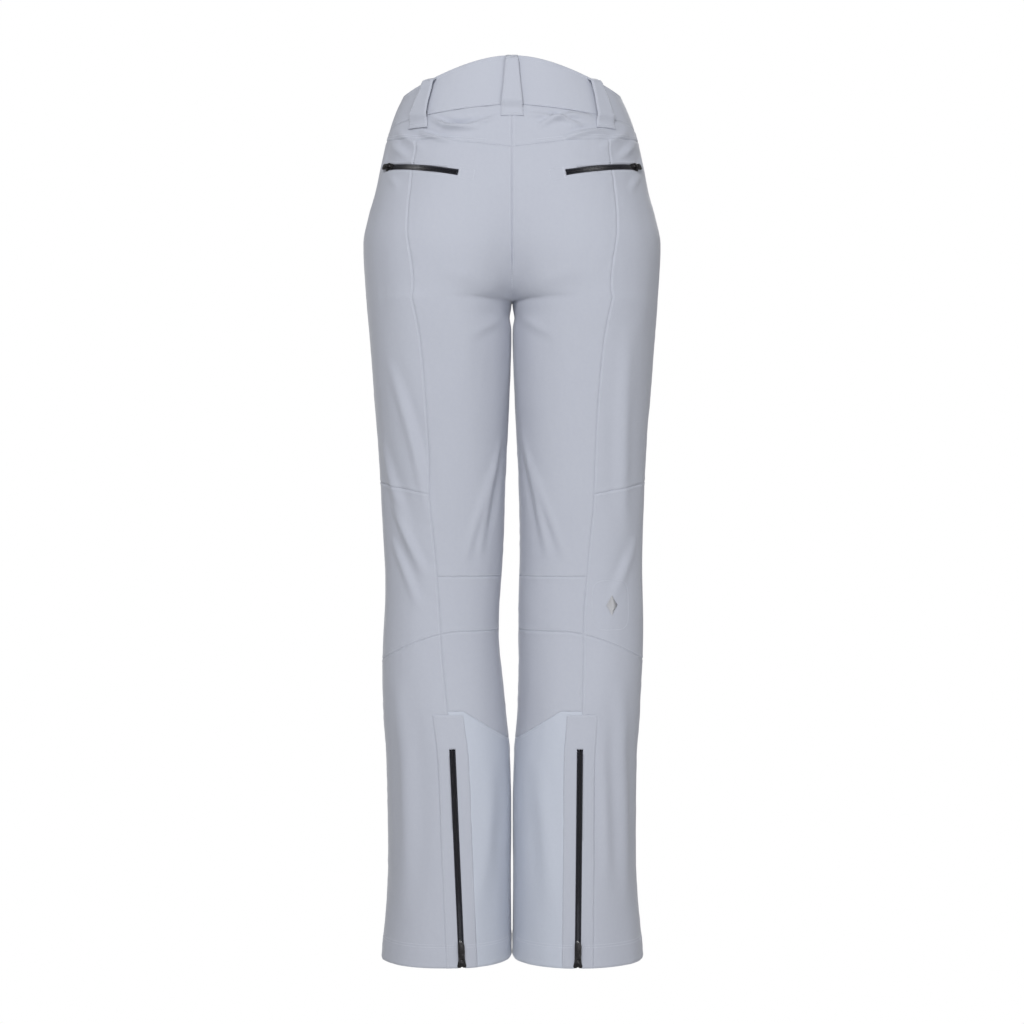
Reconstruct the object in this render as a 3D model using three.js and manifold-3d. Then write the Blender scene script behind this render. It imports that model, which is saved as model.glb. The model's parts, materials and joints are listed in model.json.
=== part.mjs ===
// Women's ski pants, regular leg: a sewn shell with a contoured waistband, seven zips with working sliders,
// belt loops, an opening fly with a snap, pocket bags and powder gaiters. Millimetres, +Z up, the front faces -Y and
// the wearer's left is +X. The origin is the centre of the waist, which holds the pants up.
import * as THREE from "three";
import { mergeVertices } from "three/addons/utils/BufferGeometryUtils.js";
import Module from "manifold-3d";

const wasm = await Module();
wasm.setup();

// ---- Driving dimensions ----------------------------------------------------------------------------------------

const INSEAM = 808; // hem to crotch
const SIDE_RISE = 254; // crotch to the top of the waistband at the side
const WAIST = INSEAM + SIDE_RISE; // height of the waistband's top edge at the side, above the hem
const BACK_RISE = 38; // how much higher the top edge is at the centre back
const BACK_ARCH = 0.44; // share of the way to the centre front over which that rise dies out
const FRONT_DROP = 24; // and how much lower at the centre front

const HEM_WIDTH = 161; // one leg across, at the hem
const KNEE_WIDTH = 151;
const CROTCH_WIDTH = 180; // centre plane to the outside of the thigh
const HIP_WIDTH = 184;
const WAIST_WIDTH = 134.5; // centre plane to the side of the waistband's top edge
const ROUNDNESS = 2.2; // 2 is an ellipse, more is squarer
const LEG_GAP = 1.2; // between the two legs where they hang side by side
const KNEE_GAP = 21; // and between the knees

const SHELL = 1.6; // thickness of the lined shell fabric
const BAND = 3; // thickness of the faced waistband
const SEAM = 0.35; // clearance between sewn neighbours
const HEM_FLAT = 30; // above the hem, the cloth's edges turn from level to square with its surface

const BAND_BACK = 61; // height of the waistband at the centre back, side and centre front
const BAND_SIDE = 44;
const BAND_FRONT = 40;
const YOKE_BACK = 53; // height of the back yoke at the centre back and at the side
const YOKE_SIDE = 11;

const KNEE_SEAM = 0.582 * INSEAM; // across the back of the knee
const CALF_SEAM = 0.5 * INSEAM; // below the knee, at the back
const SIDE_SEAM_DROP = 37; // how far that seam falls on its way to the side
const KNEE_TOP = 0.705 * INSEAM; // top of the knee panel at the back, and how much it rises to the side
const KNEE_TOP_RISE = 22;
const KICK_HEIGHT = 270; // kick patch at the inseam
const KICK_RISE = 38; // and how much higher it is at the zip
const KICK_FRONT = 0.13; // share of the hem that the kick patch takes in front of the inseam
const KICK_ROWS = 6; // straight stretches up its curved edge

const CHAIN_WIDTH = 5.2; // zip: both rows of teeth
const CHAIN_THICKNESS = 2.5;
const TAPE_HALF = 9; // half the woven tape
const TAPE_THICKNESS = 0.6;
const TOOTH_GROOVE = 1.3; // between the two rows, where the slider's wedge runs
const SLIDER_LENGTH = 13;
const SLIDER_WIDTH = 11;
const LEG_PULL = 24; // length of a leg zip's pull, and of the others'
const POCKET_PULL = 14;
const PULL_WIDTH = 8;
const LIP_GAP = 3.8; // chain's centre line to the edge of the cloth on each side
const ZIP_DEPTH = SHELL + SEAM + TAPE_THICKNESS / 2; // tape's centre below the shell's outer face

const LEG_ZIP = 262; // length of a leg zip
const LEG_ZIP_HEAD = { left: 72, right: 82 }; // its top and foot, from the centre plane
const LEG_ZIP_FOOT = { left: 60, right: 79 };
const PLACKET_WIDTH = 38;
const PLACKET_OVER = 42; // placket above the zip's end

const LOOP_TOP = 16; // belt loop: width at the top and at the foot
const LOOP_FOOT = 26;
const LOOP_CLOTH = 1.6;
const BELT_GAP = 6.2; // room for a belt behind a loop
const LOOP_BELOW = 15; // how far a loop reaches below the waistband
const BACK_LOOP = 0.26; // share of the way round from the centre back to the centre front
const FRONT_LOOP = 0.72;

const FLY_LENGTH = 112; // fly zip, down from the waistband's seam
const TAB_HINGE = 44; // the waistband tab's sewn edge, on the right of the centre plane
const TAB_OVERLAP = 26; // and how far it reaches past the centre to the left
const TAB_CLEAR = 5; // room under it for the snap
const TAB_CLOTH = 1.6;
const TAB_RAMP = 10; // length over which it rises to that height
const FACING_WIDTH = 52; // fly facing behind the zip
const FACING_BELOW = 18; // and how far it reaches below the zip
const FACING_CLOTH = 1;
const FACING_ROOM = 2.4; // between the facing and the slider's lower plate
const FACING_SEAM = 0.7; // room between its sewn edges and the shell's lining
const SNAP_RADIUS = 7.5;

const GAITER_TOP = 292; // powder gaiter
const GAITER_FOOT = 72;
const GAITER_CLOTH = 1.2;
const GAITER_SEAM = 1; // room between its sewn top and the shell's lining

// ---- The body form ---------------------------------------------------------------------------------------------

const share = (part) => Math.min(1, Math.max(0, part));

// A smooth curve through [place, value] pairs that never overshoots them.
function through(pairs) {
  const [x, y] = [pairs.map((p) => p[0]), pairs.map((p) => p[1])];
  const slope = x.slice(1).map((next, i) => (y[i + 1] - y[i]) / (next - x[i]));
  const bend = x.map((_, i) => {
    if (i === 0) return slope[0];
    if (i === x.length - 1) return slope[i - 1];
    return slope[i - 1] * slope[i] <= 0 ? 0 : (2 * slope[i - 1] * slope[i]) / (slope[i - 1] + slope[i]);
  });
  return (at) => {
    if (at <= x[0]) return y[0] + (at - x[0]) * bend[0];
    const last = x.length - 1;
    if (at >= x[last]) return y[last] + (at - x[last]) * bend[last];
    const i = x.findIndex((next) => next > at) - 1;
    const [h, t] = [x[i + 1] - x[i], (at - x[i]) / (x[i + 1] - x[i])];
    const [a, b] = [t * t * (3 - 2 * t), t * (1 - t) * h];
    return y[i] * (1 - a) + y[i + 1] * a + b * ((1 - t) * bend[i] - t * bend[i + 1]);
  };
}

const leg = (part) => part * INSEAM;
const rise = (part) => INSEAM + part * SIDE_RISE;
const towardsWaist = (part) => HIP_WIDTH + part * (WAIST_WIDTH - HIP_WIDTH);

// Half widths from the centre plane, and depths behind and in front of it, at a tailor's heights.
const outerAt = through([
  [0, HEM_WIDTH + LEG_GAP / 2],
  [leg(0.145), HEM_WIDTH - 7.5],
  [leg(0.3), HEM_WIDTH - 6],
  [leg(0.38), KNEE_WIDTH + 8.5],
  [leg(0.49), KNEE_WIDTH + 11.5],
  [leg(0.58), KNEE_WIDTH + KNEE_GAP / 2],
  [leg(0.72), CROTCH_WIDTH - 16],
  [leg(0.88), CROTCH_WIDTH - 7.6],
  [leg(0.94), CROTCH_WIDTH - 4],
  [INSEAM, CROTCH_WIDTH],
  [rise(0.28), HIP_WIDTH],
  [rise(0.42), towardsWaist(0.1414)],
  [rise(0.53), towardsWaist(0.303)],
  [rise(0.645), towardsWaist(0.4242)],
  [rise(0.8), towardsWaist(0.6061)],
  [rise(0.94), towardsWaist(0.8586)],
  [WAIST, WAIST_WIDTH],
]);
const gapAt = through([
  [0, LEG_GAP / 2],
  [leg(0.24), LEG_GAP / 2],
  [leg(0.31), LEG_GAP / 2 + 1.2],
  [leg(0.38), KNEE_GAP / 2 - 4],
  [leg(0.49), KNEE_GAP / 2 - 0.5],
  [leg(0.58), KNEE_GAP / 2],
  [leg(0.72), KNEE_GAP / 2 - 2.5],
  [leg(0.88), LEG_GAP / 2 + 1.6],
  [leg(0.93), LEG_GAP / 2],
  [INSEAM, LEG_GAP / 4],
]);
const backAt = through([
  [0, 93],
  [leg(0.145), 90],
  [leg(0.3), 86.5],
  [leg(0.38), 83],
  [leg(0.49), 75],
  [leg(0.58), 72],
  [leg(0.72), 80],
  [leg(0.88), 97],
  [INSEAM, 112],
  [rise(0.28), 121],
  [rise(0.5), 119.5],
  [rise(0.645), 113],
  [rise(0.8), 104],
  [WAIST, 93],
]);
const frontAt = through([
  [0, 95],
  [leg(0.145), 91],
  [leg(0.38), 89],
  [leg(0.49), 93],
  [leg(0.58), 97],
  [leg(0.72), 98],
  [INSEAM, 103],
  [rise(0.28), 106],
  [rise(0.5), 105.5],
  [rise(0.645), 104],
  [rise(0.8), 102],
  [WAIST, 98.6],
]);

// How far the two halves have parted at a height: 1 at the crotch, 0 where the waist is one round.
const PARTED_TO = 0.94;
const PARTED_BY = 0.62;
const partedAt = (z) => 1 - share((z - INSEAM) / SIDE_RISE / PARTED_TO) ** PARTED_BY;

function section(z) {
  const outer = outerAt(z);
  if (z <= INSEAM) {
    const inner = gapAt(z);
    return { centre: (outer + inner) / 2, half: (outer - inner) / 2, edge: 0 };
  }
  const parted = partedAt(z);
  const half = outer / (1 + parted);
  const turn = parted > 0 ? Math.atan((parted ** -ROUNDNESS - 1) ** (1 / ROUNDNESS)) : Math.PI / 2;
  return { centre: outer - half, half, edge: turn / (2 * Math.PI) };
}

// The centre seam in terms of v: 0 along the inseam, and more above the crotch.
const centreBack = (z) => section(z).edge;
const centreFront = (z) => 1 - section(z).edge;

// A point of the shell's outer face. v goes round the leg: 0 inseam, 0.25 back, 0.5 outside, 0.75 front, 1 inseam.
function place(side, v, z) {
  const s = section(z);
  const angle = Math.PI * (1 - 2 * v);
  const [c, d] = [Math.cos(angle), Math.sin(angle)];
  const reach = (Math.abs(c) ** ROUNDNESS + Math.abs(d) ** ROUNDNESS) ** (-1 / ROUNDNESS);
  const depth = d >= 0 ? backAt(z) : frontAt(z);
  return new THREE.Vector3(side * (s.centre + s.half * reach * c), depth * reach * d, z);
}

// The same face round the whole waist. w is 0 at the centre back, 1 at the left centre front, -1 at the right.
const aroundWaist = (w, z) => {
  const edge = centreBack(z);
  return place(w < 0 ? -1 : 1, edge + Math.abs(w) * (1 - 2 * edge), z);
};

function outward(surface, facing, a, z) {
  const [da, dz] = [0.002, 1];
  const along = surface(a + da, z).sub(surface(a - da, z));
  const up = surface(a, z + dz).sub(surface(a, z - dz));
  const normal = up.cross(along).multiplyScalar(facing).normalize();
  normal.z *= Math.min(1, Math.max(0, z / HEM_FLAT));
  return normal.normalize();
}

const mmPer = (surface, a, z) => surface(a + 0.002, z).distanceTo(surface(a - 0.002, z)) / 0.004;

// ---- Seam lines ------------------------------------------------------------------------------------------------

// Round the waist, w is 0 at the centre back, 0.5 at the side and 1 at the centre front; minus on the right.
const towardsBack = (w) => Math.max(0, 1 - 2 * Math.abs(w));
const towardsFront = (w) => Math.max(0, 2 * Math.abs(w) - 1);
const backArch = (w) => BACK_RISE * Math.cos((share(Math.abs(w) / BACK_ARCH) * Math.PI) / 2) ** 2;
const topEdge = (w) => WAIST + backArch(w) - FRONT_DROP * towardsFront(w) ** 1.5;
const bandHeight = (w) =>
  BAND_SIDE + (BAND_BACK - BAND_SIDE) * towardsBack(w) ** 2.5 - (BAND_SIDE - BAND_FRONT) * towardsFront(w);
const waistSeam = (w) =>
  WAIST + BACK_RISE * towardsBack(w) ** 1.5 - FRONT_DROP * towardsFront(w) ** 1.5 - bandHeight(w);
const yokeSeam = (w) => waistSeam(w) - YOKE_SIDE - (YOKE_BACK - YOKE_SIDE) * towardsBack(w) ** 1.2;
const CENTRE_FRONT = 1;

// A height given round the waist, as one given round the leg.
function onLeg(line) {
  return (v) => {
    let z = line(0.5);
    for (let i = 0; i < 12; i++) {
      const edge = centreBack(z);
      z = line(Math.min(1, Math.max(0, (v - edge) / (1 - 2 * edge))));
    }
    return z;
  };
}

const kneeSeam = () => KNEE_SEAM;
const belowKnee = (v) => CALF_SEAM - SIDE_SEAM_DROP * Math.sin((share((v - 0.19) / 0.31) * Math.PI) / 2) ** 2;
const aboveKnee = (v) => KNEE_TOP + KNEE_TOP_RISE * Math.sin(share((v - 0.27) / 0.73) * Math.PI);
const kickSeam = (v) => KICK_HEIGHT + KICK_RISE * (1 - Math.cos((share(v / 0.2) * Math.PI) / 2));
const kickFront = (z) => -KICK_FRONT * (1 - Math.min(1, z / KICK_HEIGHT) ** 2);

// The place round the leg of a point on its back that lies this far from the centre plane.
function acrossBack(x, z) {
  let [low, high] = [0, 0.5];
  for (let i = 0; i < 30; i++) {
    const middle = (low + high) / 2;
    if (place(1, middle, z).x < x) low = middle;
    else high = middle;
  }
  return (low + high) / 2;
}

// ---- Cloth -----------------------------------------------------------------------------------------------------

const steps = (count) => Array.from({ length: count + 1 }, (_, i) => i / count);

function closed(positions, index) {
  const geometry = new THREE.BufferGeometry();
  geometry.setAttribute("position", new THREE.Float32BufferAttribute(positions, 3));
  geometry.setIndex(index);
  let volume = 0;
  const [a, b, c] = [new THREE.Vector3(), new THREE.Vector3(), new THREE.Vector3()];
  for (let i = 0; i < index.length; i += 3) {
    [a, b, c].forEach((p, k) => p.fromArray(positions, 3 * index[i + k]));
    volume += a.dot(b.cross(c));
  }
  if (volume < 0) index.reverse();
  return geometry.setIndex(index);
}

// A sheet of cloth on a surface, between two edges, a foot and a top, with its thickness inwards.
// lift raises it off the surface, and tucked widens or narrows it all round.
function sheet({ surface, facing = 1, from, to, foot, top, columns, rows, cloth = SHELL, lift = () => 0, tucked = SEAM / 2 }) {
  const shares = Array.isArray(rows) ? rows : steps(rows);
  const outer = [];
  const inner = [];
  for (const t of shares) {
    for (const s of steps(columns)) {
      let [a, z] = [0, 0];
      for (let k = 0; k < 12; k++) {
        const [low, high] = [from(z), to(z)];
        a = low + (high - low) * s + ((1 - 2 * s) * tucked) / mmPer(surface, low + (high - low) * s, z);
        const [under, over] = [foot(a), top(a)];
        z = under + (over - under) * t + (1 - 2 * t) * (under > 0 || t > 0.5 ? tucked : 0);
      }
      const [spot, normal] = [surface(a, z), outward(surface, facing, a, z)];
      const raised = lift(a, z, s, t);
      outer.push(spot.clone().addScaledVector(normal, raised));
      inner.push(spot.clone().addScaledVector(normal, raised - cloth));
    }
  }
  const wide = columns + 1;
  const high = shares.length;
  const index = [];
  const quad = (a, b, c, d) => index.push(a, b, c, a, c, d);
  const under = wide * high;
  for (let j = 0; j + 1 < high; j++) {
    for (let i = 0; i < columns; i++) {
      const k = j * wide + i;
      quad(k, k + 1, k + wide + 1, k + wide);
      quad(under + k, under + k + wide, under + k + wide + 1, under + k + 1);
    }
    const [left, right] = [j * wide, j * wide + columns];
    quad(left, left + wide, under + left + wide, under + left);
    quad(right, under + right, under + right + wide, right + wide);
  }
  for (let i = 0; i < columns; i++) {
    const over = (high - 1) * wide + i;
    quad(i, under + i, under + i + 1, i + 1);
    quad(over, over + 1, under + over + 1, under + over);
  }
  return closed([...outer, ...inner].flatMap((p) => p.toArray()), index);
}

// Rows of a panel that crosses the crotch: even below it and above it, with close ones just above it.
function rowsPastCrotch(foot, below) {
  const top = yokeSeam(0.5);
  const under = steps(below).map((t) => foot + (INSEAM - foot) * t);
  const over = steps(7).slice(1).map((t) => INSEAM + (top - INSEAM) * t ** 1.8);
  return [...under, ...over].map((z) => (z - foot) / (top - foot));
}

function solid(geometry) {
  const bare = new THREE.BufferGeometry().setAttribute("position", geometry.getAttribute("position"));
  bare.setIndex(geometry.index);
  const merged = mergeVertices(bare, 1e-4);
  const index = merged.index.array;
  return new wasm.Manifold(
    new wasm.Mesh({ numProp: 3, vertProperties: merged.attributes.position.array, triVerts: new Uint32Array(index) }),
  );
}

function geometryOf(manifold) {
  const mesh = manifold.getMesh();
  const positions = [];
  for (let i = 0; i < mesh.numVert; i++) {
    positions.push(...mesh.vertProperties.subarray(i * mesh.numProp, i * mesh.numProp + 3));
  }
  const geometry = new THREE.BufferGeometry();
  geometry.setAttribute("position", new THREE.Float32BufferAttribute(positions, 3));
  return geometry.setIndex([...mesh.triVerts]);
}

// The largest body that is left, because a cut may leave loose slivers.
function cut(geometry, cutters) {
  const left = cutters.reduce((body, cutter) => body.subtract(solid(cutter)), solid(geometry));
  return geometryOf(left.decompose().sort((a, b) => b.volume() - a.volume())[0]);
}

const joined = (geometries) => geometryOf(geometries.map(solid).reduce((a, b) => a.add(b)));

// ---- Zips ------------------------------------------------------------------------------------------------------

// A zip runs along a track. Its frame has X across, Y the way the slider opens, and Z out of the cloth.
function straightTrack(start, end, out) {
  const along = end.clone().sub(start).normalize();
  const across = along.clone().cross(out).normalize();
  const up = across.clone().cross(along);
  return {
    length: start.distanceTo(end),
    frame: (s) => new THREE.Matrix4().makeBasis(across, along, up).setPosition(start.clone().addScaledVector(along, s)),
    motion: { type: "slide", axis: along },
    bends: 1,
  };
}

const BEND_SAG = 0.16; // how far a bent zip's straight stretches may leave its arc

function arcTrack(start, middle, end, out) {
  const [a, b] = [middle.clone().sub(start), end.clone().sub(start)];
  const axis = a.clone().cross(b).normalize();
  const [aa, bb, both] = [a.lengthSq(), b.lengthSq(), a.clone().cross(b).lengthSq()];
  const toCentre = b.clone().cross(axis).multiplyScalar(-aa).add(a.clone().cross(axis).multiplyScalar(bb));
  const centre = start.clone().addScaledVector(toCentre, -1 / (2 * Math.sqrt(both)));
  const radius = start.distanceTo(centre);
  const turn = start.clone().sub(centre).angleTo(end.clone().sub(centre));
  const radial = start.clone().sub(centre).normalize();
  const along = axis.clone().cross(radial);
  // out is the cloth's normal at the middle, turned back to the start so that the track keeps one section.
  const flat = out.clone().applyAxisAngle(axis, -turn / 2);
  flat.addScaledVector(along, -flat.dot(along)).normalize();
  const across = along.clone().cross(flat);
  const first = new THREE.Matrix4().makeBasis(across, along, flat).setPosition(start);
  return {
    length: radius * turn,
    frame: (s) => {
      const swing = new THREE.Matrix4().makeTranslation(centre);
      swing.multiply(new THREE.Matrix4().makeRotationAxis(axis, s / radius));
      swing.multiply(new THREE.Matrix4().makeTranslation(centre.clone().negate()));
      return swing.multiply(first);
    },
    motion: { type: "hinge", axis, centre, radius },
    bends: Math.ceil((radius * turn) / Math.sqrt(8 * radius * BEND_SAG)),
  };
}

// An outline of [across, out] points, carried along a stretch of a track.
function carried(track, start, end, outline, bends = track.bends) {
  const count = outline.length;
  const positions = [];
  for (const t of steps(bends)) {
    const frame = track.frame(start + (end - start) * t);
    for (const [x, z] of outline) positions.push(...new THREE.Vector3(x, 0, z).applyMatrix4(frame).toArray());
  }
  const index = [];
  for (let j = 0; j < bends; j++) {
    for (let i = 0; i < count; i++) {
      const [k, l] = [j * count + i, j * count + ((i + 1) % count)];
      index.push(k, l, l + count, k, l + count, k + count);
    }
  }
  const flat = outline.map(([x, z]) => new THREE.Vector2(x, z));
  for (const [a, b, c] of THREE.ShapeUtils.triangulateShape(flat, [])) {
    index.push(a, c, b, bends * count + a, bends * count + b, bends * count + c);
  }
  return closed(positions, index);
}

const bar = (half, low, high) => [[-half, low], [half, low], [half, high], [-half, high]];

function crossOutline(half, rise, wing, thin) {
  return [
    [-half, -rise], [half, -rise], [half, -thin], [wing, -thin], [wing, thin], [half, thin],
    [half, rise], [-half, rise], [-half, thin], [-wing, thin], [-wing, -thin], [-half, -thin],
  ];
}

const END_STOP = 2.5; // solid stretch that joins the two rows
const SLOT_DEPTH = 12; // of the cut for a zip, in and out of the cloth

function zipChain(track, openFoot) {
  const outline = crossOutline(CHAIN_WIDTH / 2, CHAIN_THICKNESS / 2, TAPE_HALF, TAPE_THICKNESS / 2);
  const groove = carried(track, openFoot ? -1 : END_STOP, track.length - END_STOP, bar(TOOTH_GROOVE / 2, -3, 3));
  return cut(carried(track, 0, track.length, outline), [groove]);
}

// What a zip takes out of the cloth over it: a slot for the chain and slider, and the tape's own room.
function zipRoom(track, openFoot) {
  const margin = 0.8;
  const slot = carried(track, openFoot ? -20 : -margin, track.length + margin, bar(LIP_GAP, -SLOT_DEPTH, SLOT_DEPTH));
  const tape = bar(TAPE_HALF + SEAM, -TAPE_THICKNESS / 2 - SEAM, TAPE_THICKNESS / 2 + SEAM - 0.02);
  const over = bar(SLIDER_WIDTH / 2 + SEAM, PLATE_LIFT - 0.2, SLOT_DEPTH);
  const past = openFoot ? -20 : -margin;
  return joined([slot, carried(track, past, track.length + SEAM, tape), carried(track, past, track.length, over)]);
}

function extruded(points, depth, holes = []) {
  const shape = new THREE.Shape(points.map(([x, y]) => new THREE.Vector2(x, y)));
  shape.holes = holes.map((hole) => new THREE.Path(hole.map(([x, y]) => new THREE.Vector2(x, y))));
  const geometry = new THREE.ExtrudeGeometry(shape, { depth, bevelEnabled: false, curveSegments: 6 });
  geometry.deleteAttribute("normal");
  geometry.deleteAttribute("uv");
  return mergeVertices(geometry, 1e-4);
}

const block = (x, y, z) =>
  new THREE.BoxGeometry(x[1] - x[0], y[1] - y[0], z[1] - z[0]).translate(
    (x[0] + x[1]) / 2, (y[0] + y[1]) / 2, (z[0] + z[1]) / 2,
  );
const bare = (geometry) => {
  geometry.deleteAttribute("normal");
  geometry.deleteAttribute("uv");
  return mergeVertices(geometry, 1e-4);
};

const PLATE = 1.2; // thickness of a slider's plates
const PLATE_LIFT = ZIP_DEPTH + 0.4; // upper plate above the tape's centre, clear of the cloth
const FLANGE = 0.5;
const FLANGE_AT = CHAIN_WIDTH / 2 + 0.3;
const BRIDGE_REACH = 4.5; // half the length of the bridge that holds the pull
const BRIDGE_HALF = 1.3;
const BRIDGE_ROOM = 2.6; // height of the tunnel under it
const PIN_LIFT = 1.35; // pull's pivot above the upper plate
const PIN = 1.6; // thickness of the pull

function sliderBody() {
  const [half, neck] = [SLIDER_WIDTH / 2, SLIDER_WIDTH / 2 - 1.6];
  const [back, fore] = [-SLIDER_LENGTH / 2, SLIDER_LENGTH / 2];
  const outline = [
    [-half + 1, back], [-1.4, back], [0, back + 1.4], [1.4, back], [half - 1, back],
    [half, back + 2], [neck, fore - 4], [neck - 0.4, fore - 1], [neck - 1.6, fore],
    [-neck + 1.6, fore], [-neck + 0.4, fore - 1], [-neck, fore - 4], [-half, back + 2],
  ];
  const plateTop = PLATE_LIFT + PLATE;
  const under = CHAIN_THICKNESS / 2 + SEAM;
  const lower = FLANGE_AT + FLANGE;
  const pieces = [
    extruded(outline, PLATE).translate(0, 0, PLATE_LIFT),
    bare(block([-lower, lower], [back, fore - 1], [-under - PLATE, -under])),
    bare(block([-0.35, 0.35], [back + 1.2, back + 4], [-under - 0.1, PLATE_LIFT + 0.1])),
  ];
  for (const s of [-1, 1]) {
    const rail = [s * FLANGE_AT, s * lower].sort((a, b) => a - b);
    pieces.push(bare(block(rail, [back + 2.5, fore - 1.5], [TAPE_THICKNESS / 2 + SEAM, PLATE_LIFT + 0.1])));
    pieces.push(bare(block(rail, [back + 2.5, fore - 1.5], [-under - 0.1, -TAPE_THICKNESS / 2 - SEAM])));
    const post = [s * (BRIDGE_REACH - 1.5), s * BRIDGE_REACH].sort((a, b) => a - b);
    pieces.push(bare(block([-BRIDGE_HALF, BRIDGE_HALF], post, [plateTop - 0.1, plateTop + BRIDGE_ROOM + 0.1])));
  }
  const [top, reach] = [plateTop + BRIDGE_ROOM, BRIDGE_REACH];
  pieces.push(bare(block([-BRIDGE_HALF, BRIDGE_HALF], [-reach, reach], [top, top + 0.9])));
  return joined(pieces);
}

// The pull lies along +Y, with its pivot at the origin.
function pullTab(length) {
  const [half, eye] = [PULL_WIDTH / 2, BRIDGE_HALF + 0.45];
  const clear = BRIDGE_REACH + 1.1;
  const outline = [
    [-half + 0.6, -PIN / 2], [half - 0.6, -PIN / 2], [half, 0.4], [half, clear + 2], [half - 0.6, length - 2.4],
    [half - 2.2, length], [-half + 2.2, length], [-half + 0.6, length - 2.4], [-half, clear + 2],
    [-half, 0.4],
  ];
  const hole = [[-eye, PIN / 2], [-eye, clear], [eye, clear], [eye, PIN / 2]];
  return extruded(outline, PIN - 0.2, [hole]).translate(0, 0, -PIN / 2 + 0.1);
}

// ---- Materials -------------------------------------------------------------------------------------------------

const paint = (color, roughness, metalness = 0) => new THREE.MeshStandardMaterial({ color, roughness, metalness });
const shellCloth = paint(0xc3c7d2, 0.85);
const kickCloth = paint(0xb6bcc8, 0.7);
const bandCloth = paint(0xc5c9d4, 0.85);
const liningCloth = paint(0x9fa4b0, 0.8);
const zipBlack = paint(0x14151b, 0.45);
const gunMetal = paint(0x2a2a2c, 0.35, 0.8);

// ---- Assembly --------------------------------------------------------------------------------------------------

const pants = new THREE.Group();
pants.name = "ski_pants";
const upright = new THREE.Group(); // everything is placed from the hem up, and hangs from the waist
upright.position.z = -WAIST;
pants.add(upright);

function add(name, geometry, material) {
  const mesh = new THREE.Mesh(geometry, material);
  mesh.name = name;
  upright.add(mesh);
  return mesh;
}

const onCloth = (surface, facing, a, z, depth) =>
  surface(a, z).addScaledVector(outward(surface, facing, a, z), -depth);

// Chain, slider and pull. The slider's joint is kept with it, for whoever moves it.
function addZip(name, track, { openFoot = false, pullAlong = true } = {}) {
  add(`${name}_chain`, zipChain(track, openFoot), zipBlack);
  const startAt = SLIDER_LENGTH / 2 + (openFoot ? 0.6 : END_STOP - 1);
  const slider = add(`${name}_slider`, sliderBody(), gunMetal);
  slider.applyMatrix4(track.frame(startAt));
  slider.userData = { ...track.motion, travel: track.length - startAt - SLIDER_LENGTH / 2 - END_STOP + 3 };
  const pull = add(`${name}_pull`, pullTab(openFoot ? LEG_PULL : POCKET_PULL), gunMetal);
  const pivot = new THREE.Matrix4().makeTranslation(0, 0, PLATE_LIFT + PLATE + PIN_LIFT);
  if (!pullAlong) pivot.multiply(new THREE.Matrix4().makeRotationZ(Math.PI));
  pull.applyMatrix4(track.frame(startAt).multiply(pivot));
}

function backPocketTrack(side, surface) {
  const spot = (v, z) => onCloth(surface, side, v, z, ZIP_DEPTH);
  const [outer, middle, inner] = [[0.426, rise(0.632)], [0.357, rise(0.613)], [0.287, rise(0.578)]];
  return arcTrack(spot(...outer), spot(...middle), spot(...inner), outward(surface, side, ...middle));
}

function handPocketTrack(side, surface) {
  const spot = (v, z) => onCloth(surface, side, v, z, ZIP_DEPTH);
  const [top, middle, foot] = [[0.617, rise(0.7)], [0.583, rise(0.49)], [0.556, rise(0.27)]];
  return arcTrack(spot(...top), spot(...middle), spot(...foot), outward(surface, side, ...middle));
}

function legZipTrack(side, name, surface) {
  const at = (x, z) => onCloth(surface, side, acrossBack(x, z), z, ZIP_DEPTH);
  const [foot, head] = [at(LEG_ZIP_FOOT[name], 0), at(LEG_ZIP_HEAD[name], LEG_ZIP)];
  const out = outward(surface, side, acrossBack((LEG_ZIP_FOOT[name] + LEG_ZIP_HEAD[name]) / 2, LEG_ZIP / 2), LEG_ZIP / 2);
  return straightTrack(foot, head, out);
}

function flyTrack() {
  const top = waistSeam(CENTRE_FRONT) - 5;
  const spot = (z) => onCloth(aroundWaist, 1, 1, z, ZIP_DEPTH).setX(0);
  const out = outward(aroundWaist, 1, 0.97, top - FLY_LENGTH / 2).setX(0).normalize();
  return arcTrack(spot(top), spot(top - FLY_LENGTH / 2), spot(top - FLY_LENGTH), out);
}

const fly = flyTrack();

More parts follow.
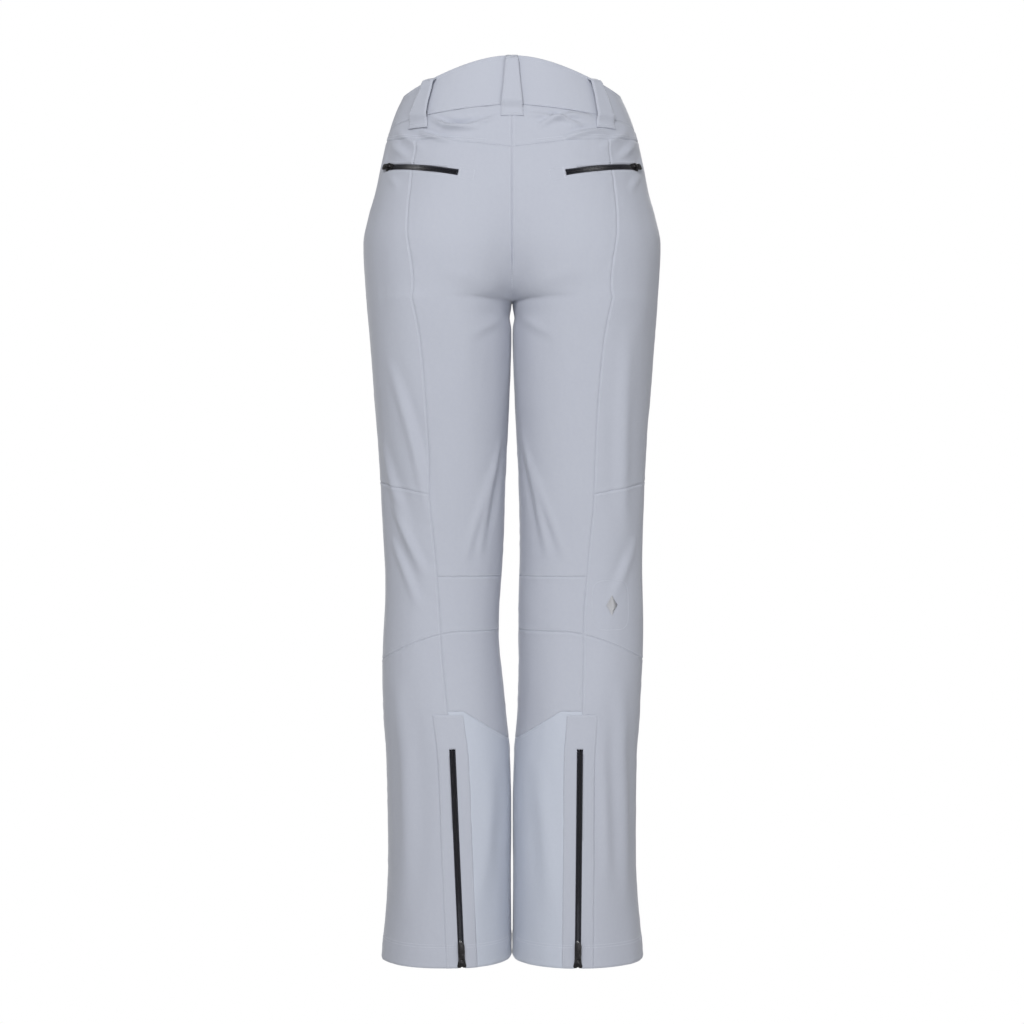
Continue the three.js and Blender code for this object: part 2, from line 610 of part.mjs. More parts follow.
function addLeg(hand, name) {
  const surface = (v, z) => place(hand, v, z);
  const panel = (shape) => sheet({ surface, facing: hand, ...shape });
  const pocket = backPocketTrack(hand, surface);
  const handPocket = handPocketTrack(hand, surface);
  const zip = legZipTrack(hand, name, surface);
  const zipAt = (z) => acrossBack(LEG_ZIP_FOOT[name] + ((LEG_ZIP_HEAD[name] - LEG_ZIP_FOOT[name]) * z) / LEG_ZIP, z);
  // The seam down the back of the leg, which the zip continues to the hem.
  const backSeam = through([
    [0, zipAt(0)],
    [LEG_ZIP / 2, zipAt(LEG_ZIP / 2)],
    [LEG_ZIP, zipAt(LEG_ZIP)],
    [CALF_SEAM, 0.25],
    [leg(0.6), 0.262],
    [KNEE_TOP, 0.277],
    [leg(0.8), 0.28],
    [leg(0.93), 0.29],
    [rise(0.05), 0.308],
    [rise(0.3), 0.335],
    [rise(0.55), 0.358],
    [rise(0.75), 0.368],
  ]);
  const inseam = () => 0;
  const side = () => 0.5;
  const hem = () => 0;
  const [yoke, waist] = [onLeg(yokeSeam), onLeg(waistSeam)];
  const placketEdge = (sign) => (z) => backSeam(z) + (sign * PLACKET_WIDTH) / 2 / mmPer(surface, 0.24, z);
  const placket = {
    from: placketEdge(-1), to: placketEdge(1), foot: hem, top: () => LEG_ZIP + PLACKET_OVER, columns: 4, rows: 7,
  };
  const placketRoom = panel({ ...placket, cloth: SHELL + 12, lift: () => 6, tucked: -SEAM / 2, foot: () => -5 });
  const pocketRoom = zipRoom(pocket);
  const cloth = (piece, shape, cutters = [], material = shellCloth) =>
    add(`${name}_${piece}`, cutters.length ? cut(panel(shape), cutters) : panel(shape), material);

  cloth("seat_panel", {
    from: centreBack, to: backSeam, foot: kneeSeam, top: yoke, columns: 6, rows: rowsPastCrotch(KNEE_SEAM, 7),
  }, [pocketRoom]);
  cloth("hip_side_panel", {
    from: backSeam, to: side, foot: aboveKnee, top: yoke, columns: 6, rows: rowsPastCrotch(KNEE_TOP, 5),
  }, [pocketRoom]);
  cloth("back_yoke", { from: centreBack, to: side, foot: yoke, top: waist, columns: 12, rows: 2 });
  cloth("knee_back_panel", { from: inseam, to: backSeam, foot: belowKnee, top: kneeSeam, columns: 6, rows: 3 });
  cloth("calf_panel", {
    from: inseam, to: backSeam, foot: kickSeam, top: belowKnee, columns: 7, rows: 4,
  }, [placketRoom]);
  cloth("knee_panel", {
    from: backSeam, to: () => 1, foot: belowKnee, top: aboveKnee, columns: 12, rows: 5,
  });
  cloth("shin_side_panel", {
    from: backSeam, to: side, foot: hem, top: belowKnee, columns: 4, rows: 8,
  }, [placketRoom]);
  cloth("kick_patch", {
    from: kickFront, to: backSeam, foot: hem, top: kickSeam, columns: 7, rows: KICK_ROWS,
  }, [placketRoom], kickCloth);
  // The shin's front has the kick patch's own rows up to its top, because they share a curved edge.
  const shinTop = belowKnee(1);
  const beside = steps(KICK_ROWS).map((t) => (t * KICK_HEIGHT) / shinTop);
  const above = steps(3).slice(1).map((t) => (KICK_HEIGHT + t * (shinTop - KICK_HEIGHT)) / shinTop);
  cloth("shin_front_panel", {
    from: side, to: (z) => 1 + kickFront(z), foot: hem, top: belowKnee, columns: 8, rows: [...beside, ...above],
  });
  cloth("front_panel", {
    from: side, to: centreFront, foot: aboveKnee, top: waist, columns: 12, rows: rowsPastCrotch(KNEE_TOP, 4),
  }, [zipRoom(handPocket), zipRoom(fly)]);
  cloth("leg_zip_placket", placket, [zipRoom(zip, true)]);

  addZip(`${name}_leg_zip`, zip, { openFoot: true });
  addZip(`${name}_back_pocket_zip`, pocket, { pullAlong: false });
  addZip(`${name}_hand_pocket_zip`, handPocket);

  const bag = { columns: 4, rows: [0, 0.3, 0.6, 1 - BAG_RAMP, 1], cloth: 1.2 };
  cloth("back_pocket_bag", {
    ...bag, from: () => 0.27, to: () => 0.43, foot: () => rise(0.14), top: () => rise(0.7), lift: bagLift,
  }, [], liningCloth);
  cloth("hand_pocket_bag", {
    ...bag, from: () => 0.525, to: () => 0.665, foot: () => rise(0.04), top: () => rise(0.78), lift: bagLift,
  }, [], liningCloth);
  add(`${name}_powder_gaiter`, gaiter(hand), liningCloth);
}

const BAG_RAMP = 0.1; // share of a bag's height in which it goes down to its depth
const BAG_SEAM = 1; // room between a bag's sewn top and the shell's lining

// A pocket bag is sewn in at its top, passes behind the slider and hangs just inside the shell.
function bagLift(a, z, across, up) {
  const sewn = SHELL + BAG_SEAM;
  const behindSlider = ZIP_DEPTH + CHAIN_THICKNESS / 2 + SEAM + PLATE + 1.8;
  return -sewn - (behindSlider - sewn) * Math.min(1, (1 - up) / BAG_RAMP);
}

// An elastic sleeve inside the leg's foot, sewn to the shell above the zip and drawn in towards the boot.
function gaiter(hand) {
  const around = 16;
  const sleeve = [[GAITER_FOOT, 0.7], [GAITER_FOOT + 45, 0.74], [LEG_ZIP - 70, 0.84], [LEG_ZIP + 4, 0.91], [GAITER_TOP, 1]];
  const positions = [];
  for (const cloth of [0, GAITER_CLOTH]) {
    for (const [z, drawn] of sleeve) {
      const centre = new THREE.Vector3(hand * section(z).centre, 0, z);
      for (let i = 0; i < around; i++) {
        const arm = place(hand, i / around, z).sub(centre);
        arm.setLength((arm.length() - SHELL - GAITER_SEAM) * drawn - cloth);
        positions.push(...centre.clone().add(arm).toArray());
      }
    }
  }
  const index = [];
  const last = sleeve.length - 1;
  const at = (layer, j, i) => (layer * sleeve.length + j) * around + (i % around);
  const quad = (a, b, c, d) => index.push(a, b, c, a, c, d);
  for (let i = 0; i < around; i++) {
    for (let j = 0; j < last; j++) {
      quad(at(0, j, i), at(0, j, i + 1), at(0, j + 1, i + 1), at(0, j + 1, i));
      quad(at(1, j, i), at(1, j + 1, i), at(1, j + 1, i + 1), at(1, j, i + 1));
    }
    quad(at(0, 0, i), at(1, 0, i), at(1, 0, i + 1), at(0, 0, i + 1));
    quad(at(0, last, i), at(0, last, i + 1), at(1, last, i + 1), at(1, last, i));
  }
  return closed(positions, index);
}

function addWaistband() {
  add("waistband", sheet({
    surface: aroundWaist, from: () => -1, to: () => 1, foot: waistSeam, top: topEdge,
    columns: 48, rows: 2, cloth: BAND,
  }), bandCloth);
}

// A tapered strap that stands off the waistband between its two sewn ends.
function beltLoop(at) {
  const [head, foot] = [topEdge(at) - 1, waistSeam(at) - LOOP_BELOW];
  const sewnFoot = 0.16;
  const sewnHead = 0.94;
  const width = (z) => LOOP_FOOT + (LOOP_TOP - LOOP_FOOT) * ((z - foot) / (head - foot));
  const edge = (sign) => (z) => at + (sign * width(z)) / 2 / mmPer(aroundWaist, at, z);
  const proud = SEAM + LOOP_CLOTH;
  const lift = (a, z, s, t) => proud + (t > sewnFoot && t < sewnHead ? BELT_GAP - SEAM : 0);
  const rows = [0, 0.1, sewnFoot - 0.01, sewnFoot + 0.05, 0.35, 0.55, 0.75, sewnHead - 0.05, sewnHead + 0.01, 1];
  return sheet({
    surface: aroundWaist, from: edge(-1), to: edge(1), foot: () => foot, top: () => head, columns: 2, rows,
    cloth: LOOP_CLOTH, lift,
  });
}

function addBeltLoops() {
  const loops = {
    belt_loop_centre_back: 0,
    belt_loop_left_back: BACK_LOOP,
    belt_loop_right_back: -BACK_LOOP,
    belt_loop_left_front: FRONT_LOOP,
    belt_loop_right_front: -FRONT_LOOP,
  };
  for (const [name, at] of Object.entries(loops)) add(name, beltLoop(at), shellCloth);
}

// A disc that stands on the waist's cloth, from one height above it to another.
function disc(w, z, radius, low, high) {
  const normal = outward(aroundWaist, 1, w, z);
  const geometry = new THREE.CylinderGeometry(radius, radius, high - low, 20);
  geometry.applyQuaternion(new THREE.Quaternion().setFromUnitVectors(new THREE.Vector3(0, 1, 0), normal));
  const middle = aroundWaist(w, z).addScaledVector(normal, (low + high) / 2);
  return bare(geometry.translate(...middle.toArray()));
}

// The tab lies over the waistband's closure and swings out about its sewn edge, taking the snap's cap with it.
function addFly() {
  const [seam, top] = [waistSeam(CENTRE_FRONT), topEdge(CENTRE_FRONT)];
  const perShare = mmPer(aroundWaist, 0.9, seam);
  const hinge = -1 + TAB_HINGE / perShare;
  const past = (overlap) => -1 - overlap / perShare;
  // Past the centre front the surface goes on round the left side.
  const acrossFront = (w, z) => (w < -1 ? aroundWaist(2 + w, z) : aroundWaist(w, z));
  const tabRise = (w) => share(((hinge - w) * perShare) / TAB_RAMP);
  const tabLift = (w) => SEAM + TAB_CLOTH + (TAB_CLEAR - TAB_CLOTH) * tabRise(w);
  addZip("fly_zip", fly);
  // The facing is sewn down at its two side edges and passes behind the slider between them.
  const behindSlider = ZIP_DEPTH + CHAIN_THICKNESS / 2 + SEAM + PLATE + FACING_ROOM;
  add("fly_facing", sheet({
    surface: acrossFront, from: () => past(FACING_WIDTH * 0.4), to: () => past(-FACING_WIDTH * 0.6),
    foot: () => seam - FLY_LENGTH - FACING_BELOW, top: () => seam - 3, columns: 6, rows: 6, cloth: FACING_CLOTH,
    lift: (a, z, s) => (s > 0 && s < 1 ? -behindSlider : -SHELL - FACING_SEAM),
  }), liningCloth);
  const tab = add("waist_tab", sheet({
    surface: acrossFront, from: () => past(TAB_OVERLAP), to: () => hinge, foot: () => seam + 1, top: () => top - 1,
    columns: 8, rows: 3, cloth: TAB_CLOTH, lift: tabLift,
  }), bandCloth);
  const [snapW, snapZ] = [1 - (TAB_OVERLAP - SNAP_RADIUS - 4) / perShare, (seam + top) / 2];
  const tabFace = SEAM + TAB_CLEAR;
  add("snap_cap", disc(snapW, snapZ, SNAP_RADIUS, tabFace + 0.5, tabFace + 2.7), gunMetal);
  add("snap_stud", disc(snapW, snapZ, SNAP_RADIUS - 2.5, SEAM + 0.2, tabFace - 2.2), gunMetal);
  const sewn = (z) => onCloth(acrossFront, 1, hinge, z, -SEAM - 0.8);
  const [low, high] = [sewn(seam + 1), sewn(top - 1)];
  tab.userData = { type: "hinge", centre: low, axis: low.clone().sub(high).normalize() };
}

addLeg(1, "left");
addLeg(-1, "right");
addWaistband();
addBeltLoops();
addFly();

export default pants;
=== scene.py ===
"""Women's ski pants: cloth, stitching, zips and trim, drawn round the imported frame.

Metres in the frame, +Z up, the front faces -Y and the wearer's left is +X. Tailor's sizes are in millimetres,
and heights are above the hem.
"""

import json
import math

import bmesh
import bpy
import numpy as np
from mathutils import Matrix, Vector
from mathutils.bvhtree import BVHTree


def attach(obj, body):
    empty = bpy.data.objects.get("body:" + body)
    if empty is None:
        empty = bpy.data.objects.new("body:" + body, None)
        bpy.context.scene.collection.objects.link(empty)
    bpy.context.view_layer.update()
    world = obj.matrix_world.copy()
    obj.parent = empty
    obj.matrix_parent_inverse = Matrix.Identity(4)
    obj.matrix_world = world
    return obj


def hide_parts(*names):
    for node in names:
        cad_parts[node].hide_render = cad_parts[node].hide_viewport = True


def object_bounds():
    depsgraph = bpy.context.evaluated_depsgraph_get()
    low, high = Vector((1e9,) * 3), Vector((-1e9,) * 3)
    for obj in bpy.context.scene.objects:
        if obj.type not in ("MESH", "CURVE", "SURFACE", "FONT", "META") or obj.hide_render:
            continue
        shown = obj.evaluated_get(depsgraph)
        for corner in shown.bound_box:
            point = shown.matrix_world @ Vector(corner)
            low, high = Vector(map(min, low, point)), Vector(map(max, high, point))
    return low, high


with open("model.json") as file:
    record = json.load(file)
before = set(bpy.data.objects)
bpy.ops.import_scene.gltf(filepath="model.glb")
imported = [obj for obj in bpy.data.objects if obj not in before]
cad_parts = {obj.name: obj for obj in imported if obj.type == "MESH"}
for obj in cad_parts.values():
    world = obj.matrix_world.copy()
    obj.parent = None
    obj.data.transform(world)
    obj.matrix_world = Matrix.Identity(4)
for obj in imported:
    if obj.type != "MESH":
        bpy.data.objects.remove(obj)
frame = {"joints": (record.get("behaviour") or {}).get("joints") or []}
cad_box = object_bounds()
MM = 0.001

# ---- Tailor's sizes --------------------------------------------------------------------------------------------

INSEAM = 808
SIDE_RISE = 254
WAIST = INSEAM + SIDE_RISE
BACK_RISE = 38
BACK_ARCH = 0.44
FRONT_DROP = 24
HEM_WIDTH = 161
KNEE_WIDTH = 151
CROTCH_WIDTH = 180
HIP_WIDTH = 184
WAIST_WIDTH = 134.5
ROUNDNESS = 2.2
LEG_GAP = 1.2
KNEE_GAP = 21
SHELL = 1.6
BAND = 3
HEM_FLAT = 30
BAND_BACK, BAND_SIDE, BAND_FRONT = 61, 44, 40
YOKE_BACK, YOKE_SIDE = 53, 11
KNEE_SEAM = 0.582 * INSEAM
CALF_SEAM = 0.5 * INSEAM
SIDE_SEAM_DROP = 37
KNEE_TOP = 0.705 * INSEAM
KNEE_TOP_RISE = 22
KICK_HEIGHT, KICK_RISE, KICK_FRONT = 270, 38, 0.13
LEG_ZIP = 262
LEG_ZIP_HEAD = {"left": 72, "right": 82}
LEG_ZIP_FOOT = {"left": 60, "right": 79}
PLACKET_WIDTH, PLACKET_OVER = 38, 42
LOOP_TOP, LOOP_FOOT, LOOP_BELOW = 16, 26, 15
BACK_LOOP, FRONT_LOOP = 0.26, 0.72
FLY_LENGTH = 112
TAB_HINGE, TAB_OVERLAP, TAB_CLEAR = 44, 26, 5
SNAP_RADIUS = 7.5
GAITER_TOP, GAITER_FOOT = 292, 72

# Zip hardware. The slider's origin lies on the tape's centre line.
PLATE_LIFT, PLATE, PIN_LIFT = 2.6, 1.2, 1.35
ZIP_DEPTH = 2.2
LIP_GAP = 3.8
SLIDER_LENGTH, SLIDER_WIDTH = 13, 11
LEG_PULL, POCKET_PULL, PULL_WIDTH = 24, 14, 8
END_STOP = 2.5

# ---- The body form ---------------------------------------------------------------------------------------------


def through(pairs):
    """A smooth curve through (place, value) pairs that never overshoots them."""
    x, y = np.array(pairs, float).T
    step = np.diff(x)
    slope = np.diff(y) / step
    bend = np.zeros_like(x)
    bend[0], bend[-1] = slope[0], slope[-1]
    both = slope[:-1] * slope[1:]
    total = np.where(both > 0, slope[:-1] + slope[1:], 1)
    bend[1:-1] = np.where(both > 0, 2 * both / total, 0)

    def curve(at):
        at = np.asarray(at, float)
        i = np.clip(np.searchsorted(x, at, side="right") - 1, 0, len(x) - 2)
        t = np.clip((at - x[i]) / step[i], 0, 1)
        a, b = t * t * (3 - 2 * t), t * (1 - t) * step[i]
        inside = y[i] * (1 - a) + y[i + 1] * a + b * ((1 - t) * bend[i] - t * bend[i + 1])
        low = y[0] + (at - x[0]) * bend[0]
        high = y[-1] + (at - x[-1]) * bend[-1]
        return np.where(at < x[0], low, np.where(at > x[-1], high, inside))

    return curve


def leg(share):
    return share * INSEAM


def rise(share):
    return INSEAM + share * SIDE_RISE


outer_at = through([
    (0, HEM_WIDTH + LEG_GAP / 2),
    (leg(0.145), HEM_WIDTH - 7.5),
    (leg(0.3), HEM_WIDTH - 6),
    (leg(0.38), KNEE_WIDTH + 8.5),
    (leg(0.49), KNEE_WIDTH + 11.5),
    (leg(0.58), KNEE_WIDTH + KNEE_GAP / 2),
    (leg(0.72), CROTCH_WIDTH - 16),
    (leg(0.88), CROTCH_WIDTH - 7.6),
    (leg(0.94), CROTCH_WIDTH - 4),
    (INSEAM, CROTCH_WIDTH),
    (rise(0.28), HIP_WIDTH),
    (rise(0.42), HIP_WIDTH - 7),
    (rise(0.53), HIP_WIDTH - 15),
    (rise(0.645), HIP_WIDTH - 21),
    (rise(0.8), WAIST_WIDTH + 19.5),
    (rise(0.94), WAIST_WIDTH + 7),
    (WAIST, WAIST_WIDTH),
])
gap_at = through([
    (0, LEG_GAP / 2),
    (leg(0.24), LEG_GAP / 2),
    (leg(0.31), LEG_GAP / 2 + 1.2),
    (leg(0.38), KNEE_GAP / 2 - 4),
    (leg(0.49), KNEE_GAP / 2 - 0.5),
    (leg(0.58), KNEE_GAP / 2),
    (leg(0.72), KNEE_GAP / 2 - 2.5),
    (leg(0.88), LEG_GAP / 2 + 1.6),
    (leg(0.93), LEG_GAP / 2),
    (INSEAM, LEG_GAP / 4),
])
back_at = through([
    (0, 93),
    (leg(0.145), 90),
    (leg(0.3), 86.5),
    (leg(0.38), 83),
    (leg(0.49), 75),
    (leg(0.58), 72),
    (leg(0.72), 80),
    (leg(0.88), 97),
    (INSEAM, 112),
    (rise(0.28), 121),
    (rise(0.5), 119.5),
    (rise(0.645), 113),
    (rise(0.8), 104),
    (WAIST, 93),
])
front_at = through([
    (0, 95),
    (leg(0.145), 91),
    (leg(0.38), 89),
    (leg(0.49), 93),
    (leg(0.58), 97),
    (leg(0.72), 98),
    (INSEAM, 103),
    (rise(0.28), 106),
    (rise(0.5), 105.5),
    (rise(0.645), 104),
    (rise(0.8), 102),
    (WAIST, 98.6),
])
PARTED_TO, PARTED_BY = 0.94, 0.62


def section(z):
    """Centre and half width of one leg at a height, and the centre seam's share of the way round it."""
    z = np.asarray(z, float)
    outer = outer_at(z)
    up = np.clip((z - INSEAM) / SIDE_RISE / PARTED_TO, 0, 1)
    parted = 1 - up**PARTED_BY
    above = z > INSEAM
    half = np.where(above, outer / (1 + parted), (outer - gap_at(z)) / 2)
    safe = np.clip(parted, 1e-6, 1)
    turn = np.arctan(np.clip(safe**-ROUNDNESS - 1, 0, None) ** (1 / ROUNDNESS))
    return outer - half, half, np.where(above, turn / (2 * math.pi), 0)


def centre_back(z):
    return section(z)[2]


def centre_front(z):
    return 1 - section(z)[2]


def place(side, v, z):
    """A point of the cloth's outer face. v is 0 at the inseam, 0.25 back, 0.5 outside, 0.75 front, 1 inseam."""
    v, z = np.broadcast_arrays(np.asarray(v, float), np.asarray(z, float))
    centre, half, _ = section(z)
    angle = math.pi * (1 - 2 * v)
    c, d = np.cos(angle), np.sin(angle)
    reach = (np.abs(c) ** ROUNDNESS + np.abs(d) ** ROUNDNESS) ** (-1 / ROUNDNESS)
    depth = np.where(d >= 0, back_at(z), front_at(z))
    return np.stack([side * (centre + half * reach * c), depth * reach * d, z - WAIST], -1) * MM


def on_leg(side):
    return lambda v, z: place(side, v, z)


def waist_spot(w, z):
    """Side and v of a point round the waist: w is 0 centre back, 1 left centre front, -1 right."""
    w = (np.asarray(w, float) + 1) % 2 - 1
    edge = centre_back(z)
    return np.where(w < 0, -1.0, 1.0), edge + np.abs(w) * (1 - 2 * edge)


def on_waist(w, z):
    side, v = waist_spot(w, z)
    return place(side, v, z)


def outward(surface, facing, a, z):
    along = surface(a + 0.002, z) - surface(a - 0.002, z)
    up = surface(a, z + 1) - surface(a, z - 1)
    normal = np.cross(up, along) * facing
    normal /= np.linalg.norm(normal, axis=-1, keepdims=True)
    normal[..., 2] *= np.clip(np.asarray(z) / HEM_FLAT, 0, 1)
    return normal / np.linalg.norm(normal, axis=-1, keepdims=True)


def mm_per(surface, a, z):
    return np.linalg.norm(surface(a + 0.002, z) - surface(a - 0.002, z), axis=-1) / 0.004 / MM


# ---- Seam lines ------------------------------------------------------------------------------------------------


def top_edge(w):
    arch = np.cos(np.clip(np.abs(w) / BACK_ARCH, 0, 1) * math.pi / 2) ** 2
    return WAIST + BACK_RISE * arch - FRONT_DROP * np.clip(2 * np.abs(w) - 1, 0, 1) ** 1.5


def waist_seam(w):
    back, front = np.clip(1 - 2 * np.abs(w), 0, 1), np.clip(2 * np.abs(w) - 1, 0, 1)
    edge = WAIST + BACK_RISE * back**1.5 - FRONT_DROP * front**1.5
    return edge - BAND_SIDE - (BAND_BACK - BAND_SIDE) * back**2.5 + (BAND_SIDE - BAND_FRONT) * front


def yoke_seam(w):
    return waist_seam(w) - YOKE_SIDE - (YOKE_BACK - YOKE_SIDE) * np.clip(1 - 2 * np.abs(w), 0, 1) ** 1.2


def round_leg(line):
    """A height given round the waist, as one given round the leg."""

    def height(v):
        z = np.full(np.shape(v), float(line(0.5)))
        for _ in range(12):
            edge = centre_back(z)
            z = line(np.clip((v - edge) / (1 - 2 * edge), 0, 1))
        return z

    return height


yoke_on_leg = round_leg(yoke_seam)
waist_on_leg = round_leg(waist_seam)


def below_knee(v):
    return CALF_SEAM - SIDE_SEAM_DROP * np.sin(np.clip((v - 0.19) / 0.31, 0, 1) * 1.57) ** 2


def above_knee(v):
    return KNEE_TOP + KNEE_TOP_RISE * np.sin(np.clip((v - 0.27) / 0.73, 0, 1) * 3.14)


def kick_seam(v):
    return KICK_HEIGHT + KICK_RISE * (1 - np.cos(np.clip(v / 0.2, 0, 1) * math.pi / 2))


def kick_front(z):
    return -KICK_FRONT * (1 - np.clip(z / KICK_HEIGHT, 0, 1) ** 2)


def across_back(x, z):
    """v of a point on the back that lies this far from the centre plane."""
    x, z = np.broadcast_arrays(np.asarray(x, float), np.asarray(z, float))
    low, high = np.zeros(x.shape), np.full(x.shape, 0.5)
    for _ in range(30):
        middle = (low + high) / 2
        short = place(1, middle, z)[..., 0] < x * MM
        low, high = np.where(short, middle, low), np.where(short, high, middle)
    return (low + high) / 2


def back_seam_of(name):
    """The seam down the back of the leg, which the leg zip continues to the hem."""

    def zip_at(z):
        share = z / LEG_ZIP
        return float(across_back(LEG_ZIP_FOOT[name] * (1 - share) + LEG_ZIP_HEAD[name] * share, z))

    return through([
        (0, zip_at(0)),
        (LEG_ZIP / 2, zip_at(LEG_ZIP / 2)),
        (LEG_ZIP, zip_at(LEG_ZIP)),
        (CALF_SEAM, 0.25),
        (leg(0.6), 0.262),
        (KNEE_TOP, 0.277),
        (leg(0.8), 0.28),
        (leg(0.93), 0.29),
        (rise(0.05), 0.308),
        (rise(0.3), 0.335),
        (rise(0.55), 0.358),
        (rise(0.75), 0.368),
    ])


SIDES = {"left": 1, "right": -1}
BACK_SEAM = {name: back_seam_of(name) for name in SIDES}

# ---- Zip tracks, from the frame's joints -----------------------------------------------------------------------

joints = {joint["name"]: joint for joint in frame["joints"]}


class Track:
    """Where a zip runs: local X across it, Y the way its slider opens and Z out of the cloth, in millimetres."""

    def __init__(self, name, pull_along=True, open_foot=False):
        slide, swing = joints[f"{name}_slide"], joints[f"{name}_pull_swing"]
        self.name, self.pull_along, self.open_foot = name, pull_along, open_foot
        pivot = np.array(swing["pos_m"])
        self.across = np.array(swing["axis"]) * (1 if pull_along else -1)
        self.axis = np.array(slide["axis"]) / np.linalg.norm(slide["axis"])
        self.bent = slide["type"] == "hinge"
        if self.bent:
            self.centre = np.array(slide["pos_m"])
            self.along = np.cross(self.axis, pivot - self.centre)
            self.along /= np.linalg.norm(self.along)
        else:
            self.along = self.axis
        self.out = np.cross(self.across, self.along)
        self.out /= np.linalg.norm(self.out)
        self.across = np.cross(self.along, self.out)
        self.origin = pivot - self.out * (PLATE_LIFT + PLATE + PIN_LIFT) * MM
        self.pivot = pivot
        if self.bent:
            arm = self.origin - self.centre
            self.radial = arm - self.axis * arm.dot(self.axis)
            self.radius = np.linalg.norm(self.radial)
            self.radial = self.radial / self.radius
            self.travel = math.radians(slide["range_deg"][1]) * self.radius / MM
        else:
            self.travel = slide["range_m"][1] / MM
        self.start = -(SLIDER_LENGTH / 2 + (0.6 if open_foot else END_STOP - 1))
        self.end = self.travel + 6

    def turned(self, points, angle):
        """Points turned about the track's axis."""
        arm = points - self.centre
        c, s = np.cos(angle)[..., None], np.sin(angle)[..., None]
        lengthwise = self.axis * (arm @ self.axis)[..., None]
        return self.centre + lengthwise + (arm - lengthwise) * c + np.cross(self.axis, arm) * s

    def carry(self, local):
        """Local millimetres to the frame's metres."""
        local = np.asarray(local, float)
        flat = self.origin + (local[..., :1] * self.across + local[..., 2:] * self.out) * MM
        if not self.bent:
            return flat + local[..., 1:2] * self.along * MM
        return self.turned(flat, local[..., 1] * MM / self.radius)

    def local(self, points):
        """The frame's metres to local millimetres."""
        if not self.bent:
            arm = points - self.origin
            return np.stack([arm @ self.across, arm @ self.along, arm @ self.out], -1) / MM
        arm = points - self.centre
        angle = np.arctan2(arm @ self.along, arm @ self.radial)
        arm = self.turned(points, -angle) - self.origin
        return np.stack([arm @ self.across, angle * self.radius, arm @ self.out], -1) / MM

    def matrix(self):
        """The slider's place at rest, for a mesh in metres."""
        turn = Matrix((self.across, self.along, self.out)).transposed().to_4x4()
        return Matrix.Translation(Vector(self.origin)) @ turn


tracks = {}
for side_name in SIDES:
    tracks[f"{side_name}_leg_zip"] = Track(f"{side_name}_leg_zip", open_foot=True)
    tracks[f"{side_name}_back_pocket_zip"] = Track(f"{side_name}_back_pocket_zip", pull_along=False)
    tracks[f"{side_name}_hand_pocket_zip"] = Track(f"{side_name}_hand_pocket_zip")
tracks["fly_zip"] = Track("fly_zip")

# ---- Relief of the cloth: folds, drag lines and soft unevenness ------------------------------------------------

lattice = np.random.default_rng(11).random((24, 24, 24)) * 2 - 1


def mottle(points, size):
    """Smooth noise from -1 to 1 with this size of blob in millimetres, one size or one for each direction."""
    q = points / (np.asarray(size) * MM) + 500.3
    whole = np.floor(q).astype(int)
    t = q - whole
    t = t * t * (3 - 2 * t)
    total = 0
    for corner in np.ndindex(2, 2, 2):
        i = (whole + corner) % 24
        weight = np.prod(np.where(np.array(corner) == 1, t, 1 - t), -1)
        total = total + lattice[i[..., 0], i[..., 1], i[..., 2]] * weight
    return total


class Fold:
    """A fold from one spot to another: a ridge of cloth with a shallow valley beside it."""

    def __init__(self, side, start, end, width, height, bow=0.0, valley=0.5):
        self.side, self.width, self.height, self.bow, self.valley = side, width, height, bow, valley
        middle = (np.array(start) + np.array(end)) / 2
        self.girth = float(mm_per(on_leg(1), middle[0], middle[1]))
        self.start = np.array([start[0] * self.girth, start[1]])
        self.run = np.array([end[0] * self.girth, end[1]]) - self.start
        self.length = np.linalg.norm(self.run)

    def lift(self, side, v, z):
        spot = np.stack([v * self.girth, z], -1) - self.start
        along = spot @ self.run / self.length**2
        across = (spot[..., 0] * self.run[1] - spot[..., 1] * self.run[0]) / self.length
        across = across - self.bow * 4 * along * (1 - along)
        taper = np.sin(np.pi * np.clip(along, 0, 1)) ** 0.8
        ridge = np.exp(-((across / self.width) ** 2))
        beside = np.exp(-(((across - 1.5 * self.width) / (1.2 * self.width)) ** 2))
        return np.where(side == self.side, self.height * taper * (ridge - self.valley * beside), 0)


def both(*shape, **more):
    """The same fold on either leg."""
    return [Fold(1, *shape, **more), Fold(-1, *shape, **more)]


def behind(x, z):
    """A spot on the back of the leg, from its distance to the centre plane and its height."""
    return float(across_back(x, z)), z


